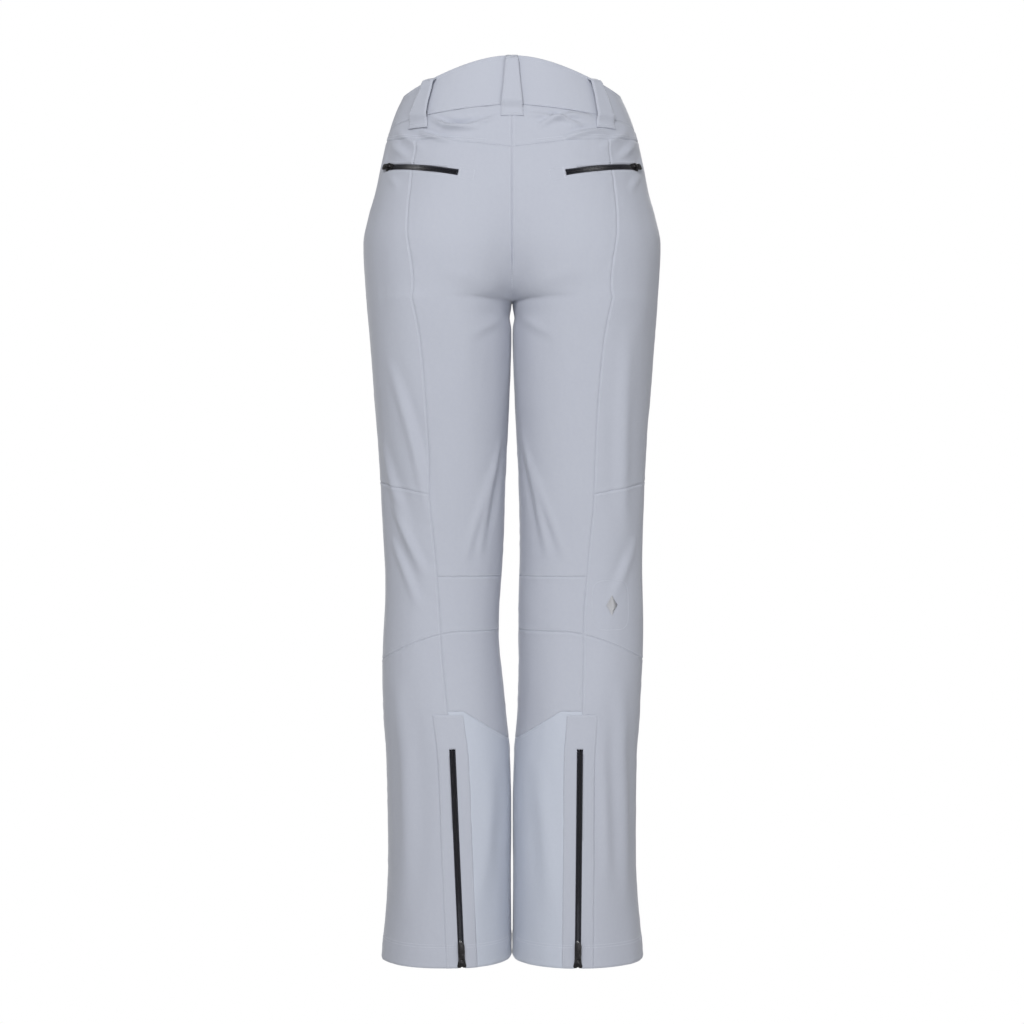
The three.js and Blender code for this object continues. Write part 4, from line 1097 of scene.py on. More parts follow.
waist_tab()
snap_w, snap_z = 1 - (TAB_OVERLAP - SNAP_RADIUS - 4) / FRONT_PER, (FRONT_SEAM + FRONT_TOP) / 2
face_at = 0.35 + TAB_CLEAR
turned_disc("snap_cap_dome", snap_w, snap_z, [
    (7.3, face_at + 0.35), (7.5, face_at + 0.8), (7.4, face_at + 1.3), (6.9, face_at + 1.75), (6.2, face_at + 1.9),
    (5.9, face_at + 1.7), (5.6, face_at + 1.75), (4.6, face_at + 2.3), (3.2, face_at + 2.6), (1.6, face_at + 2.75),
    (0, face_at + 2.8)], "closure_tab", "snap_cap")
turned_disc("snap_stud_post", snap_w, snap_z, [
    (5.0, 0.55), (5.0, 1.0), (4.2, 1.25), (2.6, 1.35), (2.2, 1.8), (2.3, 2.5), (1.9, 2.9), (0, 3.1)],
    "trousers", "snap_stud")


def fly_facing():
    low, high = past_front(52 * 0.4), past_front(-52 * 0.6)

    def lift(a, z, edges):
        near = np.minimum(edges[0], edges[1])
        ramp = np.clip(near / 8.6, 0, 1)
        return -2.4 - 5.2 * ramp**2 * (3 - 2 * ramp) + 0.3 * mottle(on_waist(a, z), 14)

    made = cloth_panel("fly_facing_cloth", on_waist, 1, waist_spot, constant(low), constant(high),
                       constant(FRONT_SEAM - FLY_LENGTH - 18), constant(FRONT_SEAM - 3), thickness=0.9, stiff=0.2,
                       lift=lift, groove=0.3, materials=[lining_cloth, lining_cloth])
    return declare(made, "fly_facing")


fly_facing()

# ---- Linings ---------------------------------------------------------------------------------------------------


def bag_lift(foot, top):
    sewn, behind_slider = SHELL + 1, ZIP_DEPTH + 1.25 + 0.35 + PLATE + 1.8

    def lift(a, z, edges):
        up = (z - foot) / (top - foot)
        return -sewn - (behind_slider - sewn) * np.clip((1 - up) / 0.1, 0, 1) + 0.25 * mottle(on_leg(1)(a, z), 22)
    return lift


def gaiter(name):
    side, around = SIDES[name], 96
    share_at = through([(GAITER_FOOT, 0.7), (GAITER_FOOT + 45, 0.74), (LEG_ZIP - 70, 0.84), (LEG_ZIP + 4, 0.91),
                        (GAITER_TOP, 1)])
    zs = np.concatenate([[GAITER_FOOT, GAITER_FOOT + 3], np.linspace(GAITER_FOOT + 8, GAITER_TOP, 40)])
    turn = np.arange(around) / around
    ring = []
    for z in zs:
        centre = np.array([side * float(section(z)[0]), 0, z - WAIST]) * (MM, 1, MM)
        arm = place(side, turn, z) - centre
        length = np.linalg.norm(arm, axis=1, keepdims=True)
        gathered = math.exp(-((z - GAITER_FOOT - 14) / 16) ** 2)
        pleat = 0.9 * gathered * np.sin(turn * 2 * math.pi * 34) + 0.8 * mottle(arm + z * 0.01, 20) * (z < 280)
        reach = (length / MM - SHELL - 1.2) * float(share_at(z)) + pleat[:, None]
        ring.append(centre + arm / length * reach * MM)
    grid = np.array(ring)
    faces = []
    for j in range(len(zs) - 1):
        for i in range(around):
            k = (i + 1) % around
            face = (j * around + i, j * around + k, (j + 1) * around + k, (j + 1) * around + i)
            faces.append(face[::-1] if side < 0 else face)
    made = mesh_object(f"{name}_gaiter", grid.reshape(-1, 3), faces, [lining_cloth])
    face_out(made, 0, grid[0, 0] - grid[0].mean(0))
    girths = np.linalg.norm(np.diff(np.concatenate([grid, grid[:, :1]], 1), axis=1), axis=2).sum(1)
    metric_uv(made, np.repeat((turn * girths[-1])[None], len(zs), 0), grid[..., 2])
    thickened(made, 1.0)
    length = (GAITER_TOP - GAITER_FOOT) * MM
    area = float((0.5 * (girths[:-1] + girths[1:]) * np.abs(np.diff(zs))).sum()) * MM
    made["flat"] = (float(girths.max()), length, area)
    return declare(made, f"{name}_powder_gaiter", held="gathered")


def linings(name):
    side = SIDES[name]
    surface = on_leg(side)

    def spot(v, z):
        return np.full(np.shape(z), float(side)), v

    for piece, low, high, foot, top in (("back_pocket_bag", 0.27, 0.43, rise(0.14), rise(0.7)),
                                        ("hand_pocket_bag", 0.525, 0.665, rise(0.04), rise(0.78))):
        made = cloth_panel(f"{name}_{piece}_cloth", surface, side, spot, constant(low), constant(high),
                           constant(foot), constant(top), thickness=1.0, stiff=0.15, lift=bag_lift(foot, top),
                           groove=0.2, materials=[lining_cloth, lining_cloth])
        declare(made, f"{name}_{piece}")
    gaiter(name)


for side_name in SIDES:
    linings(side_name)

# ---- Repeats: stitches, teeth and thread, each set of them one tree --------------------------------------------


def repeat_tree(name, shape):
    """A tree that sets a small shape on every point, turned to the point's own along and out."""
    tree = bpy.data.node_groups.new(name, "GeometryNodeTree")
    face = tree.interface
    face.new_socket("Points", in_out="INPUT", socket_type="NodeSocketGeometry")
    for label in ("Length", "Width", "Height", "Wobble"):
        face.new_socket(label, in_out="INPUT", socket_type="NodeSocketFloat")
    face.new_socket("Seed", in_out="INPUT", socket_type="NodeSocketInt")
    face.new_socket("Finish", in_out="INPUT", socket_type="NodeSocketMaterial")
    face.new_socket("Geometry", in_out="OUTPUT", socket_type="NodeSocketGeometry")
    nodes, link = tree.nodes, tree.links.new
    entry, leave = nodes.new("NodeGroupInput"), nodes.new("NodeGroupOutput")
    points = nodes.new("GeometryNodeMeshToPoints")
    link(entry.outputs["Points"], points.inputs["Mesh"])
    turn = nodes.new("FunctionNodeAxesToRotation")
    turn.primary_axis, turn.secondary_axis = "X", "Z"
    for attribute, socket in (("along", "Primary Axis"), ("out", "Secondary Axis")):
        named = nodes.new("GeometryNodeInputNamedAttribute")
        named.data_type = "FLOAT_VECTOR"
        named.inputs["Name"].default_value = attribute
        link(named.outputs["Attribute"], turn.inputs[socket])
    reach = nodes.new("GeometryNodeInputNamedAttribute")
    reach.data_type = "FLOAT"
    reach.inputs["Name"].default_value = "reach"
    if shape == "thread":
        unit = nodes.new("GeometryNodeMeshIcoSphere")
        unit.inputs["Radius"].default_value = 0.5
        unit.inputs["Subdivisions"].default_value = 1
        ready = unit.outputs["Mesh"]
    else:
        unit = nodes.new("GeometryNodeMeshCylinder")
        unit.inputs["Vertices"].default_value = 10
        unit.inputs["Radius"].default_value = 0.5
        unit.inputs["Depth"].default_value = 1.0
        lay = nodes.new("GeometryNodeTransform")
        lay.inputs["Rotation"].default_value = (0, math.pi / 2, 0)
        link(unit.outputs["Mesh"], lay.inputs["Geometry"])
        ready = lay.outputs["Geometry"]
    long = nodes.new("ShaderNodeMath")
    long.operation = "MULTIPLY"
    link(entry.outputs["Length"], long.inputs[0])
    link(reach.outputs["Attribute"], long.inputs[1])
    size = nodes.new("ShaderNodeCombineXYZ")
    link(long.outputs[0], size.inputs[0])
    link(entry.outputs["Width"], size.inputs[1])
    link(entry.outputs["Height"], size.inputs[2])
    swing = nodes.new("FunctionNodeRandomValue")
    swing.data_type = "FLOAT"
    low = nodes.new("ShaderNodeMath")
    low.operation = "MULTIPLY"
    low.inputs[1].default_value = -1
    link(entry.outputs["Wobble"], low.inputs[0])
    link(low.outputs[0], swing.inputs[2])
    link(entry.outputs["Wobble"], swing.inputs[3])
    link(entry.outputs["Seed"], swing.inputs["Seed"])
    angle = nodes.new("ShaderNodeCombineXYZ")
    link(swing.outputs[1], angle.inputs[2])
    place_all = nodes.new("GeometryNodeInstanceOnPoints")
    link(points.outputs["Points"], place_all.inputs["Points"])
    link(ready, place_all.inputs["Instance"])
    link(turn.outputs["Rotation"], place_all.inputs["Rotation"])
    link(size.outputs[0], place_all.inputs["Scale"])
    askew = nodes.new("GeometryNodeRotateInstances")
    link(place_all.outputs["Instances"], askew.inputs["Instances"])
    link(angle.outputs[0], askew.inputs["Rotation"])
    real = nodes.new("GeometryNodeRealizeInstances")
    link(askew.outputs["Instances"], real.inputs["Geometry"])
    finish = nodes.new("GeometryNodeSetMaterial")
    link(real.outputs["Geometry"], finish.inputs["Geometry"])
    link(entry.outputs["Finish"], finish.inputs["Material"])
    smooth = nodes.new("GeometryNodeSetShadeSmooth")
    link(finish.outputs["Geometry"], smooth.inputs["Geometry"])
    smooth.inputs["Shade Smooth"].default_value = shape == "thread"
    link(smooth.outputs["Geometry"], leave.inputs[0])
    return tree


stitch_tree = repeat_tree("stitches", "thread")
tooth_tree = repeat_tree("zip teeth", "tooth")


def repeated(name, tree, spots, sizes, finish, wobble=0.0):
    """One plain mesh of a shape repeated at spots, each a place, a direction, an outward direction and a reach."""
    points, alongs, outs, reaches = (np.array([spot[k] for spot in spots]) for k in range(4))
    made = mesh_object(name, points, [], smooth=False)
    for label, kind, values in (("along", "FLOAT_VECTOR", alongs), ("out", "FLOAT_VECTOR", outs),
                                ("reach", "FLOAT", reaches)):
        layer = made.data.attributes.new(label, kind, "POINT")
        layer.data.foreach_set("value" if kind == "FLOAT" else "vector", np.asarray(values, float).ravel())
    grown = made.modifiers.new("repeat", "NODES")
    grown.node_group = tree
    names = {item.name: item.identifier for item in tree.interface.items_tree if item.in_out == "INPUT"}
    for label, value in zip(("Length", "Width", "Height"), sizes):
        grown[names[label]] = value * MM
    grown[names["Wobble"]] = wobble
    grown[names["Seed"]] = 5
    grown[names["Finish"]] = finish
    evaluated(made)
    if not made.data.materials:
        made.data.materials.append(finish)
    return made


class Surface:
    """The outermost cloth of some finished pieces, to lay thread on."""

    def __init__(self, names):
        verts, faces, shift = [], [], 0
        for name in names:
            mesh = finished[name].data
            co = np.zeros(len(mesh.vertices) * 3)
            mesh.vertices.foreach_get("co", co)
            verts += [tuple(c) for c in co.reshape(-1, 3)]
            faces += [tuple(v + shift for v in p.vertices) for p in mesh.polygons]
            shift += len(mesh.vertices)
        self.tree = BVHTree.FromPolygons(verts, faces)

    def drop(self, point, normal, above=14.0):
        hit = self.tree.ray_cast(Vector(point + normal * above * MM), Vector(-normal), 2.2 * above * MM)
        return None if hit[0] is None else np.array(hit[0])


def stitch_row(cloth, points, normals, pitch=3.0, sink=0.0):
    """Spots of a row of stitches along a line, dropped onto the cloth."""
    gaps = np.linalg.norm(np.diff(points, axis=0), axis=1)
    run = np.concatenate([[0], np.cumsum(gaps)])
    count = max(2, int(run[-1] / (pitch * MM)))
    at = (np.arange(count) + 0.5) * run[-1] / count
    mids = np.stack([np.interp(at, run, points[:, k]) for k in range(3)], 1)
    outs = np.stack([np.interp(at, run, normals[:, k]) for k in range(3)], 1)
    outs /= np.linalg.norm(outs, axis=1, keepdims=True)
    landed = [cloth.drop(p, n) for p, n in zip(mids, outs)]
    spots = []
    for k in range(count):
        near = landed[max(k - 1, 0)], landed[min(k + 1, count - 1)]
        if landed[k] is None or near[0] is None or near[1] is None:
            continue
        along = near[1] - near[0]
        long = np.linalg.norm(along)
        if long < 1e-6 or long > 3.2 * pitch * MM:
            continue
        spots.append((landed[k] + outs[k] * (0.1 - sink) * MM, along / long, outs[k], 1.0))
    return spots


def surface_line(surface, facing, a, z):
    a, z = np.broadcast_arrays(np.asarray(a, float), np.asarray(z, float))
    return surface(a, z), outward(surface, facing, a, z)


def leg_stitches(name):
    side, surface, back_seam = SIDES[name], on_leg(SIDES[name]), BACK_SEAM[name]
    pieces = ["seat", "hip_side", "yoke", "knee_back", "knee", "shin_front", "front", "calf", "shin_side", "kick",
              "placket"]
    cloth = Surface([f"{name}_{piece}" for piece in pieces])
    spots = []

    def row(a, z, **more):
        points, normals = surface_line(surface, side, a, z)
        spots.extend(stitch_row(cloth, points, normals, **more))

    def up_seam(line, low, high, aside):
        z = np.linspace(low, high, int((high - low) / 3))
        row(line(z) + aside / mm_per(surface, line(z), z), z)

    def round_seam(line, low, high, above):
        v = np.linspace(low, high, 120)
        row(v, line(v) + above)

    half = PLACKET_WIDTH / 2
    placket_top = LEG_ZIP + PLACKET_OVER
    edge = lambda sign, inset: lambda z: back_seam(z) + sign * (half - inset) / mm_per(surface, 0.24, z)
    for sign in (-1, 1):
        up_seam(edge(sign, 2.2), 2, placket_top - 3, 0)
    row(np.linspace(edge(-1, 3)(placket_top), edge(1, 3)(placket_top), 30), placket_top - 2.2)
    up_seam(back_seam, placket_top + 2, float(yoke_seam(0.74)) - 3, 2.2)
    up_seam(centre_back, INSEAM + 12, float(waist_seam(0)) - 2, 3.4)
    round_seam(yoke_on_leg, 0.262, 0.5, 2.2)
    round_seam(yoke_on_leg, 0.262, 0.5, 5.0)
    round_seam(constant(KNEE_SEAM), 0.01, float(back_seam(KNEE_SEAM)) - 0.005, 2.0)
    round_seam(below_knee, 0.01, 0.5, 2.0)
    round_seam(above_knee, float(back_seam(KNEE_TOP)) + 0.006, 0.99, -2.2)
    round_seam(kick_seam, 0.0, 0.16, -2.0)
    round_seam(kick_seam, 0.0, 0.16, -4.6)
    up_seam(lambda z: kick_front(z) % 1 + 0 * z, 3, KICK_HEIGHT - 8, 2.2)
    for z in HEM_STITCH:
        row(np.linspace(0.002, 0.998, 400), np.full(400, float(z)))
    # Stitched boxes round the pocket zips, reaching past their inner ends.
    for track, past in ((tracks[f"{name}_back_pocket_zip"], 17), (tracks[f"{name}_hand_pocket_zip"], 7)):
        low, high = track.start - 1.5, track.end + 2.5
        box = [(-6.6, low), (6.6, low), (6.6, high + past), (-6.6, high + past), (-6.6, low)]
        for (x0, y0), (x1, y1) in zip(box, box[1:]):
            if y0 == y1 == low:
                continue
            t = np.linspace(0, 1, 40)[:, None]
            local = np.concatenate([x0 + (x1 - x0) * t, y0 + (y1 - y0) * t, np.zeros_like(t)], 1)
            points = track.carry(local)
            normals = track.carry(local + (0, 0, 1.0)) - points
            spots.extend(stitch_row(cloth, points, normals / np.linalg.norm(normals, axis=1, keepdims=True)))
        t = np.linspace(-6.6, 6.6, 12)[:, None]
        local = np.concatenate([t, np.full_like(t, high + 0.6), np.zeros_like(t)], 1)
        points = track.carry(local)
        normals = track.carry(local + (0, 0, 1.0)) - points
        spots.extend(stitch_row(cloth, points, normals / np.linalg.norm(normals, axis=1, keepdims=True), pitch=1.4))
    made = repeated(f"{name}_stitching", stitch_tree, spots, (2.4, 0.62, 0.5), thread_with_painted_highlight, wobble=0.05)
    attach(made, "trousers")
    return cloth


def badge(cloth):
    """A plain lozenge in satin stitch inside a rounded line of running stitch, on the right shin's side."""
    surface, side = on_leg(-1), -1
    middle = float(across_back(121, 436))
    per = float(mm_per(surface, middle, 436))
    spots, outline = [], []

    def at(x, y):
        points, normals = surface_line(surface, side, np.atleast_1d(middle + x / per), np.atleast_1d(436 + y))
        return points[0], normals[0]

    def satin(cx, cy, wide, tall):
        for y in np.arange(-tall / 2 + 0.25, tall / 2, 0.42):
            reach = wide * (1 - abs(2 * y / tall))
            if reach < 0.8:
                continue
            point, normal = at(cx, cy + y)
            landed = cloth.drop(point, normal)
            if landed is None:
                continue
            along = at(cx + 1, cy + y)[0] - point
            spots.append((landed + normal * 0.18 * MM, along / np.linalg.norm(along), normal, reach))

    satin(0, 0, 19, 25)
    turn = np.linspace(0, 2 * math.pi, 160)
    c, d = np.cos(turn), np.sin(turn)
    reach = (np.abs(c) ** 4 + np.abs(d) ** 4) ** -0.25
    points, normals = surface_line(surface, side, middle + 25 * reach * c / per, 436 + 30 * reach * d)
    outline = stitch_row(cloth, points, normals, pitch=1.8)
    made = repeated("badge_embroidery", stitch_tree, spots, (1.0, 0.46, 0.5), badge_thread)
    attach(made, "trousers")
    made = repeated("badge_outline", stitch_tree, outline, (1.9, 0.5, 0.4), thread_with_painted_highlight)
    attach(made, "trousers")


cloth_of = {side_name: leg_stitches(side_name) for side_name in SIDES}
badge(cloth_of["right"])


def trim_stitches():
    """Rows along the loops, the tab and the waistband's edges."""
    spots, tab_spots = [], []
    for name, at in LOOPS.items():
        strap = Surface([f"{name}_strap"])
        foot, head = float(waist_seam(at)) - LOOP_BELOW, float(top_edge(at)) - 4
        per = float(mm_per(on_waist, at, foot + 30))
        z = np.linspace(foot + 2, head, 40)
        width = LOOP_FOOT + (LOOP_TOP - LOOP_FOOT) * (z - foot) / (head + 5 - foot)
        for sign in (-1, 1):
            points, normals = surface_line(on_waist, 1, at + sign * (width / 2 - 2.2) / per, z)
            spots.extend(stitch_row(strap, points, normals))
        for up, pitch in ((2.2, 1.1), (3.6, 1.2), (head - foot - 1, 1.1), (head - foot - 2.6, 1.2)):
            reach = width[0] / 2 - 2.5 if up < 10 else width[-1] / 2 - 2.5
            a = at + np.linspace(-reach, reach, 20) / per
            points, normals = surface_line(on_waist, 1, a, np.full(20, foot + up))
            spots.extend(stitch_row(strap, points, normals, pitch=pitch))
    band = Surface(["waistband_cloth"])
    w = np.linspace(-1, 1, 500)
    for line, off in ((waist_seam, 2.4), (top_edge, -4.5)):
        points, normals = surface_line(on_waist, 1, w, line(w) + off)
        spots.extend(stitch_row(band, points, normals))
    tab = Surface(["waist_tab_cloth"])
    tip = past_front(TAB_OVERLAP)
    for z in (FRONT_SEAM + 3.6, FRONT_TOP - 3.6):
        a = np.linspace(tip + 10 / FRONT_PER, HINGE - 2 / FRONT_PER, 50)
        points, normals = surface_line(on_waist, 1, a, np.full(50, z))
        tab_spots.extend(stitch_row(tab, points, normals))
    for off in (2.4, 4.8):
        z = np.linspace(FRONT_SEAM + 3, FRONT_TOP - 3, 20)
        points, normals = surface_line(on_waist, 1, np.full(20, HINGE - off / FRONT_PER), z)
        tab_spots.extend(stitch_row(tab, points, normals))
    made = repeated("trim_stitching", stitch_tree, spots, (2.4, 0.42, 0.34), thread_with_painted_highlight, wobble=0.05)
    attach(made, "trousers")
    made = repeated("tab_stitching", stitch_tree, tab_spots, (2.4, 0.42, 0.34), thread_with_painted_highlight, wobble=0.05)
    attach(made, "closure_tab")


trim_stitches()

# ---- Zips ------------------------------------------------------------------------------------------------------

PITCH = 2.0


def zip_chain(track):
    """Two woven tapes with a corded edge and two rows of moulded teeth."""
    low = -1.0 if track.open_foot else track.start - 0.4
    low = max(low, track.start)
    high = track.end + 0.4
    ys = np.linspace(low, high, int((high - low) / 2.5))
    verts, faces, across = [], [], []
    section_line = [(1.2, 0.3), (2.6, 0.85), (3.3, 0.8), (3.8, 0.32), (9, 0.28), (9, -0.28), (3.8, -0.32), (1.2, -0.3)]
    for sign in (-1, 1):
        base = len(verts)
        for y in ys:
            for x, z in section_line:
                verts.append((sign * x, y, z))
                across.append(x)
        wide = len(section_line)
        for j in range(len(ys) - 1):
            for i in range(wide):
                k, n = base + j * wide + i, base + j * wide + (i + 1) % wide
                face = (k, n, n + wide, k + wide)
                faces.append(face if sign > 0 else face[::-1])
        for j, flip in ((0, False), (len(ys) - 1, True)):
            cap = tuple(base + j * wide + i for i in range(wide))
            faces.append(cap if (flip == (sign > 0)) else cap[::-1])
    local = np.array(verts)
    made = mesh_object(f"{track.name}_tape", track.carry(local), faces, [tape_cloth])
    tidy = bmesh.new()
    tidy.from_mesh(made.data)
    bmesh.ops.recalc_face_normals(tidy, faces=tidy.faces)
    tidy.to_mesh(made.data)
    tidy.free()
    metric_uv(made, local[:, 0] * MM, local[:, 1] * MM)
    length = (high - low) * MM
    made["flat"] = (0.018, length, 0.018 * length)
    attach(made, "trousers")
    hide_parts(f"{track.name}_chain")
    spots, dots = [], []
    for sign in (-1, 1):
        y = np.arange(low + 1.2 + (PITCH / 2 if sign > 0 else 0), high - 2.2, PITCH)
        local = np.stack([np.full_like(y, sign * 1.15), y, np.full_like(y, 0.15)], 1)
        points = track.carry(local)
        alongs, outs = track.carry(local + (1, 0, 0)) - points, track.carry(local + (0, 0, 1)) - points
        spots += [(p, a / MM, o / MM, 1.0) for p, a, o in zip(points, alongs, outs)]
        y = np.arange(low + 1, high - 1, 1.7)
        local = np.stack([np.full_like(y, sign * 3.25), y, np.full_like(y, 0.85)], 1)
        points = track.carry(local)
        alongs, outs = track.carry(local + (0.6, 1, 0)) - points, track.carry(local + (0, 0, 1)) - points
        dots += [(p, a / np.linalg.norm(a), o / MM, 1.0) for p, a, o in zip(points, alongs, outs)]
    made = repeated(f"{track.name}_teeth", tooth_tree, spots, (3.0, 1.25, 2.3), teeth_plastic)
    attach(made, "trousers")
    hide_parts(f"{track.name}_chain")
    made = repeated(f"{track.name}_tape_stitches", stitch_tree, dots, (1.3, 0.42, 0.3), tape_thread)
    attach(made, "trousers")


class Casting:
    """A small casting built up from bevelled blocks in local millimetres."""

    def __init__(self):
        self.shape = bmesh.new()

    def slab(self, outline, low, high, holes=()):
        """A flat plate with an outline of x and y points."""
        rings = []
        for z in (low, high):
            rings.append([self.shape.verts.new((x, y, z)) for x, y in outline])
        n = len(outline)
        for k in range(n):
            self.shape.faces.new((rings[0][k], rings[0][(k + 1) % n], rings[1][(k + 1) % n], rings[1][k]))
        if not holes:
            self.shape.faces.new(rings[0][::-1])
            self.shape.faces.new(rings[1])
            return
        inner = []
        for z in (low, high):
            inner.append([self.shape.verts.new((x, y, z)) for x, y in holes])
        m = len(holes)
        for k in range(m):
            self.shape.faces.new((inner[1][k], inner[1][(k + 1) % m], inner[0][(k + 1) % m], inner[0][k]))
        for out, hole in zip(rings, inner):
            edges = [self.shape.edges.get((out[k], out[(k + 1) % n])) for k in range(n)]
            edges += [self.shape.edges.get((hole[k], hole[(k + 1) % m])) for k in range(m)]
            bmesh.ops.triangle_fill(self.shape, use_beauty=True, use_dissolve=True, edges=edges)

    def arch(self, half, reach, base, inner, outer, steps=14):
        """A strap of this half width that arches along Y."""
        rows = []
        for k in range(steps + 1):
            turn = math.pi * k / steps
            y, up = math.cos(turn), math.sin(turn) ** 0.7
            for size, lift in ((reach - 0.9, inner), (reach, outer)):
                rows.append([self.shape.verts.new((x, size * y, base + lift * up)) for x in (-half, half)])
        for k in range(steps):
            a, b, c, d = rows[2 * k], rows[2 * k + 1], rows[2 * k + 2], rows[2 * k + 3]
            self.shape.faces.new((a[0], a[1], c[1], c[0]))
            self.shape.faces.new((b[1], b[0], d[0], d[1]))
            self.shape.faces.new((a[0], c[0], d[0], b[0]))
            self.shape.faces.new((a[1], b[1], d[1], c[1]))
        for a, b in ((rows[0], rows[1]), (rows[-2], rows[-1])):
            self.shape.faces.new((a[0], b[0], b[1], a[1]))

    def cast(self, name, matrix, material, bevel):
        bmesh.ops.recalc_face_normals(self.shape, faces=self.shape.faces)
        bmesh.ops.scale(self.shape, vec=(MM, MM, MM), verts=self.shape.verts)
        bmesh.ops.transform(self.shape, matrix=matrix, verts=self.shape.verts)
        mesh = bpy.data.meshes.new(name)
        self.shape.to_mesh(mesh)
        self.shape.free()
        mesh.materials.append(material)
        made = bpy.data.objects.new(name, mesh)
        bpy.context.scene.collection.objects.link(made)
        edge = made.modifiers.new("edges", "BEVEL")
        edge.width, edge.segments, edge.limit_method, edge.angle_limit = bevel * MM, 2, "ANGLE", 0.6
        evaluated(made)
        made.data.polygons.foreach_set("use_smooth", [True] * len(made.data.polygons))
        made.data.set_sharp_from_angle(angle=0.9)
        return made


def rect(x, y):
    return [(x[0], y[0]), (x[1], y[0]), (x[1], y[1]), (x[0], y[1])]


def zip_slider(track):
    half, back, fore = SLIDER_WIDTH / 2, -SLIDER_LENGTH / 2, SLIDER_LENGTH / 2
    neck = half - 1.7
    top = PLATE_LIFT + PLATE
    body = Casting()
    shield = [(-half + 1.4, back), (-1.5, back), (-0.7, back + 1.3), (0.7, back + 1.3), (1.5, back), (half - 1.4, back),
              (half - 0.3, back + 0.9), (half, back + 2.4), (half - 0.4, back + 4.2), (neck + 0.2, fore - 4.6),
              (neck, fore - 2.2), (neck - 0.6, fore - 0.7), (neck - 1.8, fore), (-neck + 1.8, fore),
              (-neck + 0.6, fore - 0.7), (-neck, fore - 2.2), (-neck - 0.2, fore - 4.6), (-half + 0.4, back + 4.2),
              (-half, back + 2.4), (-half + 0.3, back + 0.9)]
    body.slab(shield, PLATE_LIFT, top)
    crown = [(x * 0.72, y * 0.8) for x, y in shield]
    body.slab(crown, top - 0.1, top + 0.35)
    body.slab(rect((-3.4, 3.4), (back, fore - 1)), -2.8, -1.6)
    body.slab(rect((-0.35, 0.35), (back + 1.2, back + 4)), -1.7, PLATE_LIFT + 0.1)
    for s in (-1, 1):
        rail = sorted((s * 2.9, s * 3.4))
        body.slab(rect(rail, (back + 2.5, fore - 1.5)), 0.65, PLATE_LIFT + 0.1)
        body.slab(rect(rail, (back + 2.5, fore - 1.5)), -1.7, -0.65)
    body.arch(1.3, 4.6, top, 2.7, 3.6)
    made = body.cast(f"{track.name}_slider_body", track.matrix(), gunmetal, 0.22)
    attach(made, f"{track.name}_slider")
    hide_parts(f"{track.name}_slider")


def zip_pull(track):
    length = LEG_PULL if track.open_foot else POCKET_PULL
    half = PULL_WIDTH / 2
    eye = [(-1.75, 0.8), (-1.75, 4.9), (-1.1, 5.6), (1.1, 5.6), (1.75, 4.9), (1.75, 0.8)]
    tab = Casting()
    outline = [(-half + 0.9, -0.8), (half - 0.9, -0.8), (half - 0.2, 0), (half, 1.2), (half - 0.3, 6.5)]
    if length > 20:
        outline += [(half - 0.5, 8.2), (half, 10.2), (half, length - 3.5), (half - 0.5, length - 1.6),
                    (half - 1.6, length - 0.4), (1.2, length)]
    else:
        outline += [(half - 0.1, length - 3.2), (half - 0.7, length - 1.4), (half - 1.8, length - 0.3), (0.9, length)]
    outline += [(-x, y) for x, y in reversed(outline)]
    tab.slab(outline, -0.6, 0.6, holes=eye)
    if length > 20:
        grip = [(-2.7, 10.6), (2.7, 10.6), (2.7, length - 3.4), (1.6, length - 1.8), (-1.6, length - 1.8),
                (-2.7, length - 3.4)]
        tab.slab(grip, -0.85, 0.85)
        for k in range(4):
            y = 12 + k * 2.2
            tab.slab(rect((-2.1, 2.1), (y, y + 0.9)), -1.05, 1.05)
    flip = Matrix.Identity(4) if track.pull_along else Matrix.Rotation(math.pi, 4, "Z")
    place_it = Matrix.Translation(Vector(track.pivot)) @ track.matrix().to_3x3().to_4x4() @ flip
    made = tab.cast(f"{track.name}_pull_tab", place_it, gunmetal, 0.2)
    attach(made, f"{track.name}_pull")
    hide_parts(f"{track.name}_pull")


for track in tracks.values():
    zip_chain(track)
    zip_slider(track)
    zip_pull(track)

# ---- Floor, light and camera -----------------------------------------------------------------------------------


ROOM_LIGHT, FLOOR_LIGHT, BACKDROP = 0.31, 0.45, 1.0
SOFTBOXES = [  # place, size and power: a high one and a low one behind the pants, and the same in front
    ((0.6, 2.9, 1.5), 0.8, 58), ((-0.8, 3.0, -0.9), 1.0, 36),
    ((-0.6, -2.9, 1.5), 0.8, 58), ((0.8, -3.0, -0.9), 1.0, 36),
]
LIT_POINT = Vector((0, 0, -0.45))
CAMERA_AWAY, CAMERA_ABOVE_HEM = 3.0, 0.549


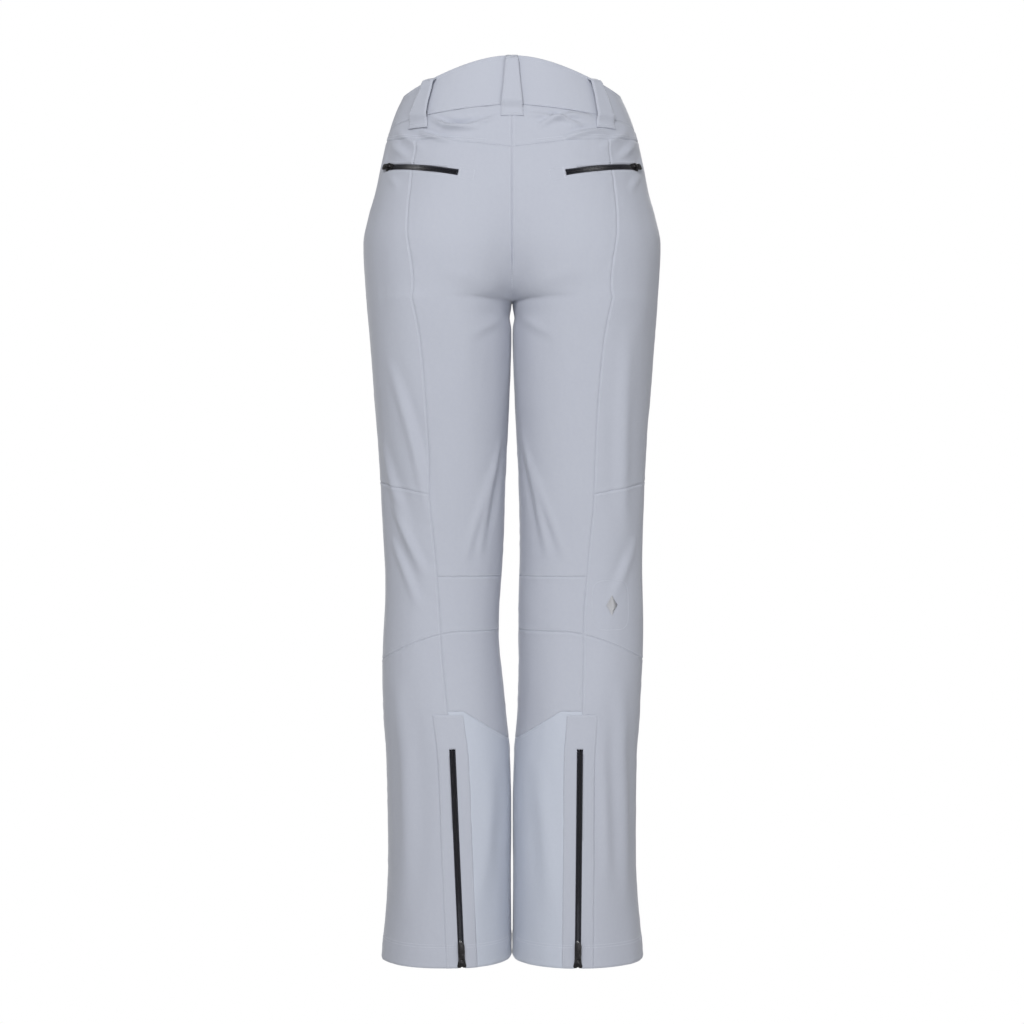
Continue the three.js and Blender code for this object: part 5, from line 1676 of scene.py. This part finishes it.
def white_to_camera(tree, kind, strength, output, socket):
    """A white light of this strength that shows as plain white where the camera sees it."""
    given, shown = tree.nodes.new(kind), tree.nodes.new(kind)
    for node, power in ((given, strength), (shown, BACKDROP)):
        node.inputs["Color"].default_value = (1, 1, 1, 1)
        node.inputs["Strength"].default_value = power
    seen, mixed = tree.nodes.new("ShaderNodeLightPath"), tree.nodes.new("ShaderNodeMixShader")
    tree.links.new(seen.outputs["Is Camera Ray"], mixed.inputs[0])
    tree.links.new(given.outputs[0], mixed.inputs[1])
    tree.links.new(shown.outputs[0], mixed.inputs[2])
    tree.links.new(mixed.outputs[0], output.inputs[socket])


def studio():
    low = cad_box[0]
    bpy.ops.mesh.primitive_plane_add(size=40, location=(0, 0, low.z - 0.003))
    floor = bpy.context.object
    floor.name = "floor"
    pale = bpy.data.materials.new("pale_floor")
    pale.use_nodes = True
    pale.node_tree.nodes.clear()
    output = pale.node_tree.nodes.new("ShaderNodeOutputMaterial")
    white_to_camera(pale.node_tree, "ShaderNodeEmission", FLOOR_LIGHT, output, "Surface")
    floor.data.materials.append(pale)
    world = bpy.data.worlds.new("studio")
    bpy.context.scene.world = world
    world.use_nodes = True
    world.node_tree.nodes.clear()
    output = world.node_tree.nodes.new("ShaderNodeOutputWorld")
    white_to_camera(world.node_tree, "ShaderNodeBackground", ROOM_LIGHT, output, "Surface")
    for where, size, power in SOFTBOXES:
        light = bpy.data.lights.new("softbox", "AREA")
        light.size, light.energy = size, power
        lamp = bpy.data.objects.new("softbox", light)
        lamp.location = where
        lamp.rotation_euler = (LIT_POINT - Vector(where)).to_track_quat("-Z", "Y").to_euler()
        bpy.context.scene.collection.objects.link(lamp)
    view = bpy.data.cameras.new("camera")
    view.lens, view.sensor_width = 85, 36
    camera = bpy.data.objects.new("camera", view)
    camera.location = (0, CAMERA_AWAY, CAMERA_ABOVE_HEM - WAIST * MM)
    camera.rotation_euler = (math.pi / 2, 0, math.pi)
    bpy.context.scene.collection.objects.link(camera)
    bpy.context.scene.camera = camera
    bpy.context.scene.view_settings.view_transform = "Standard"


studio()
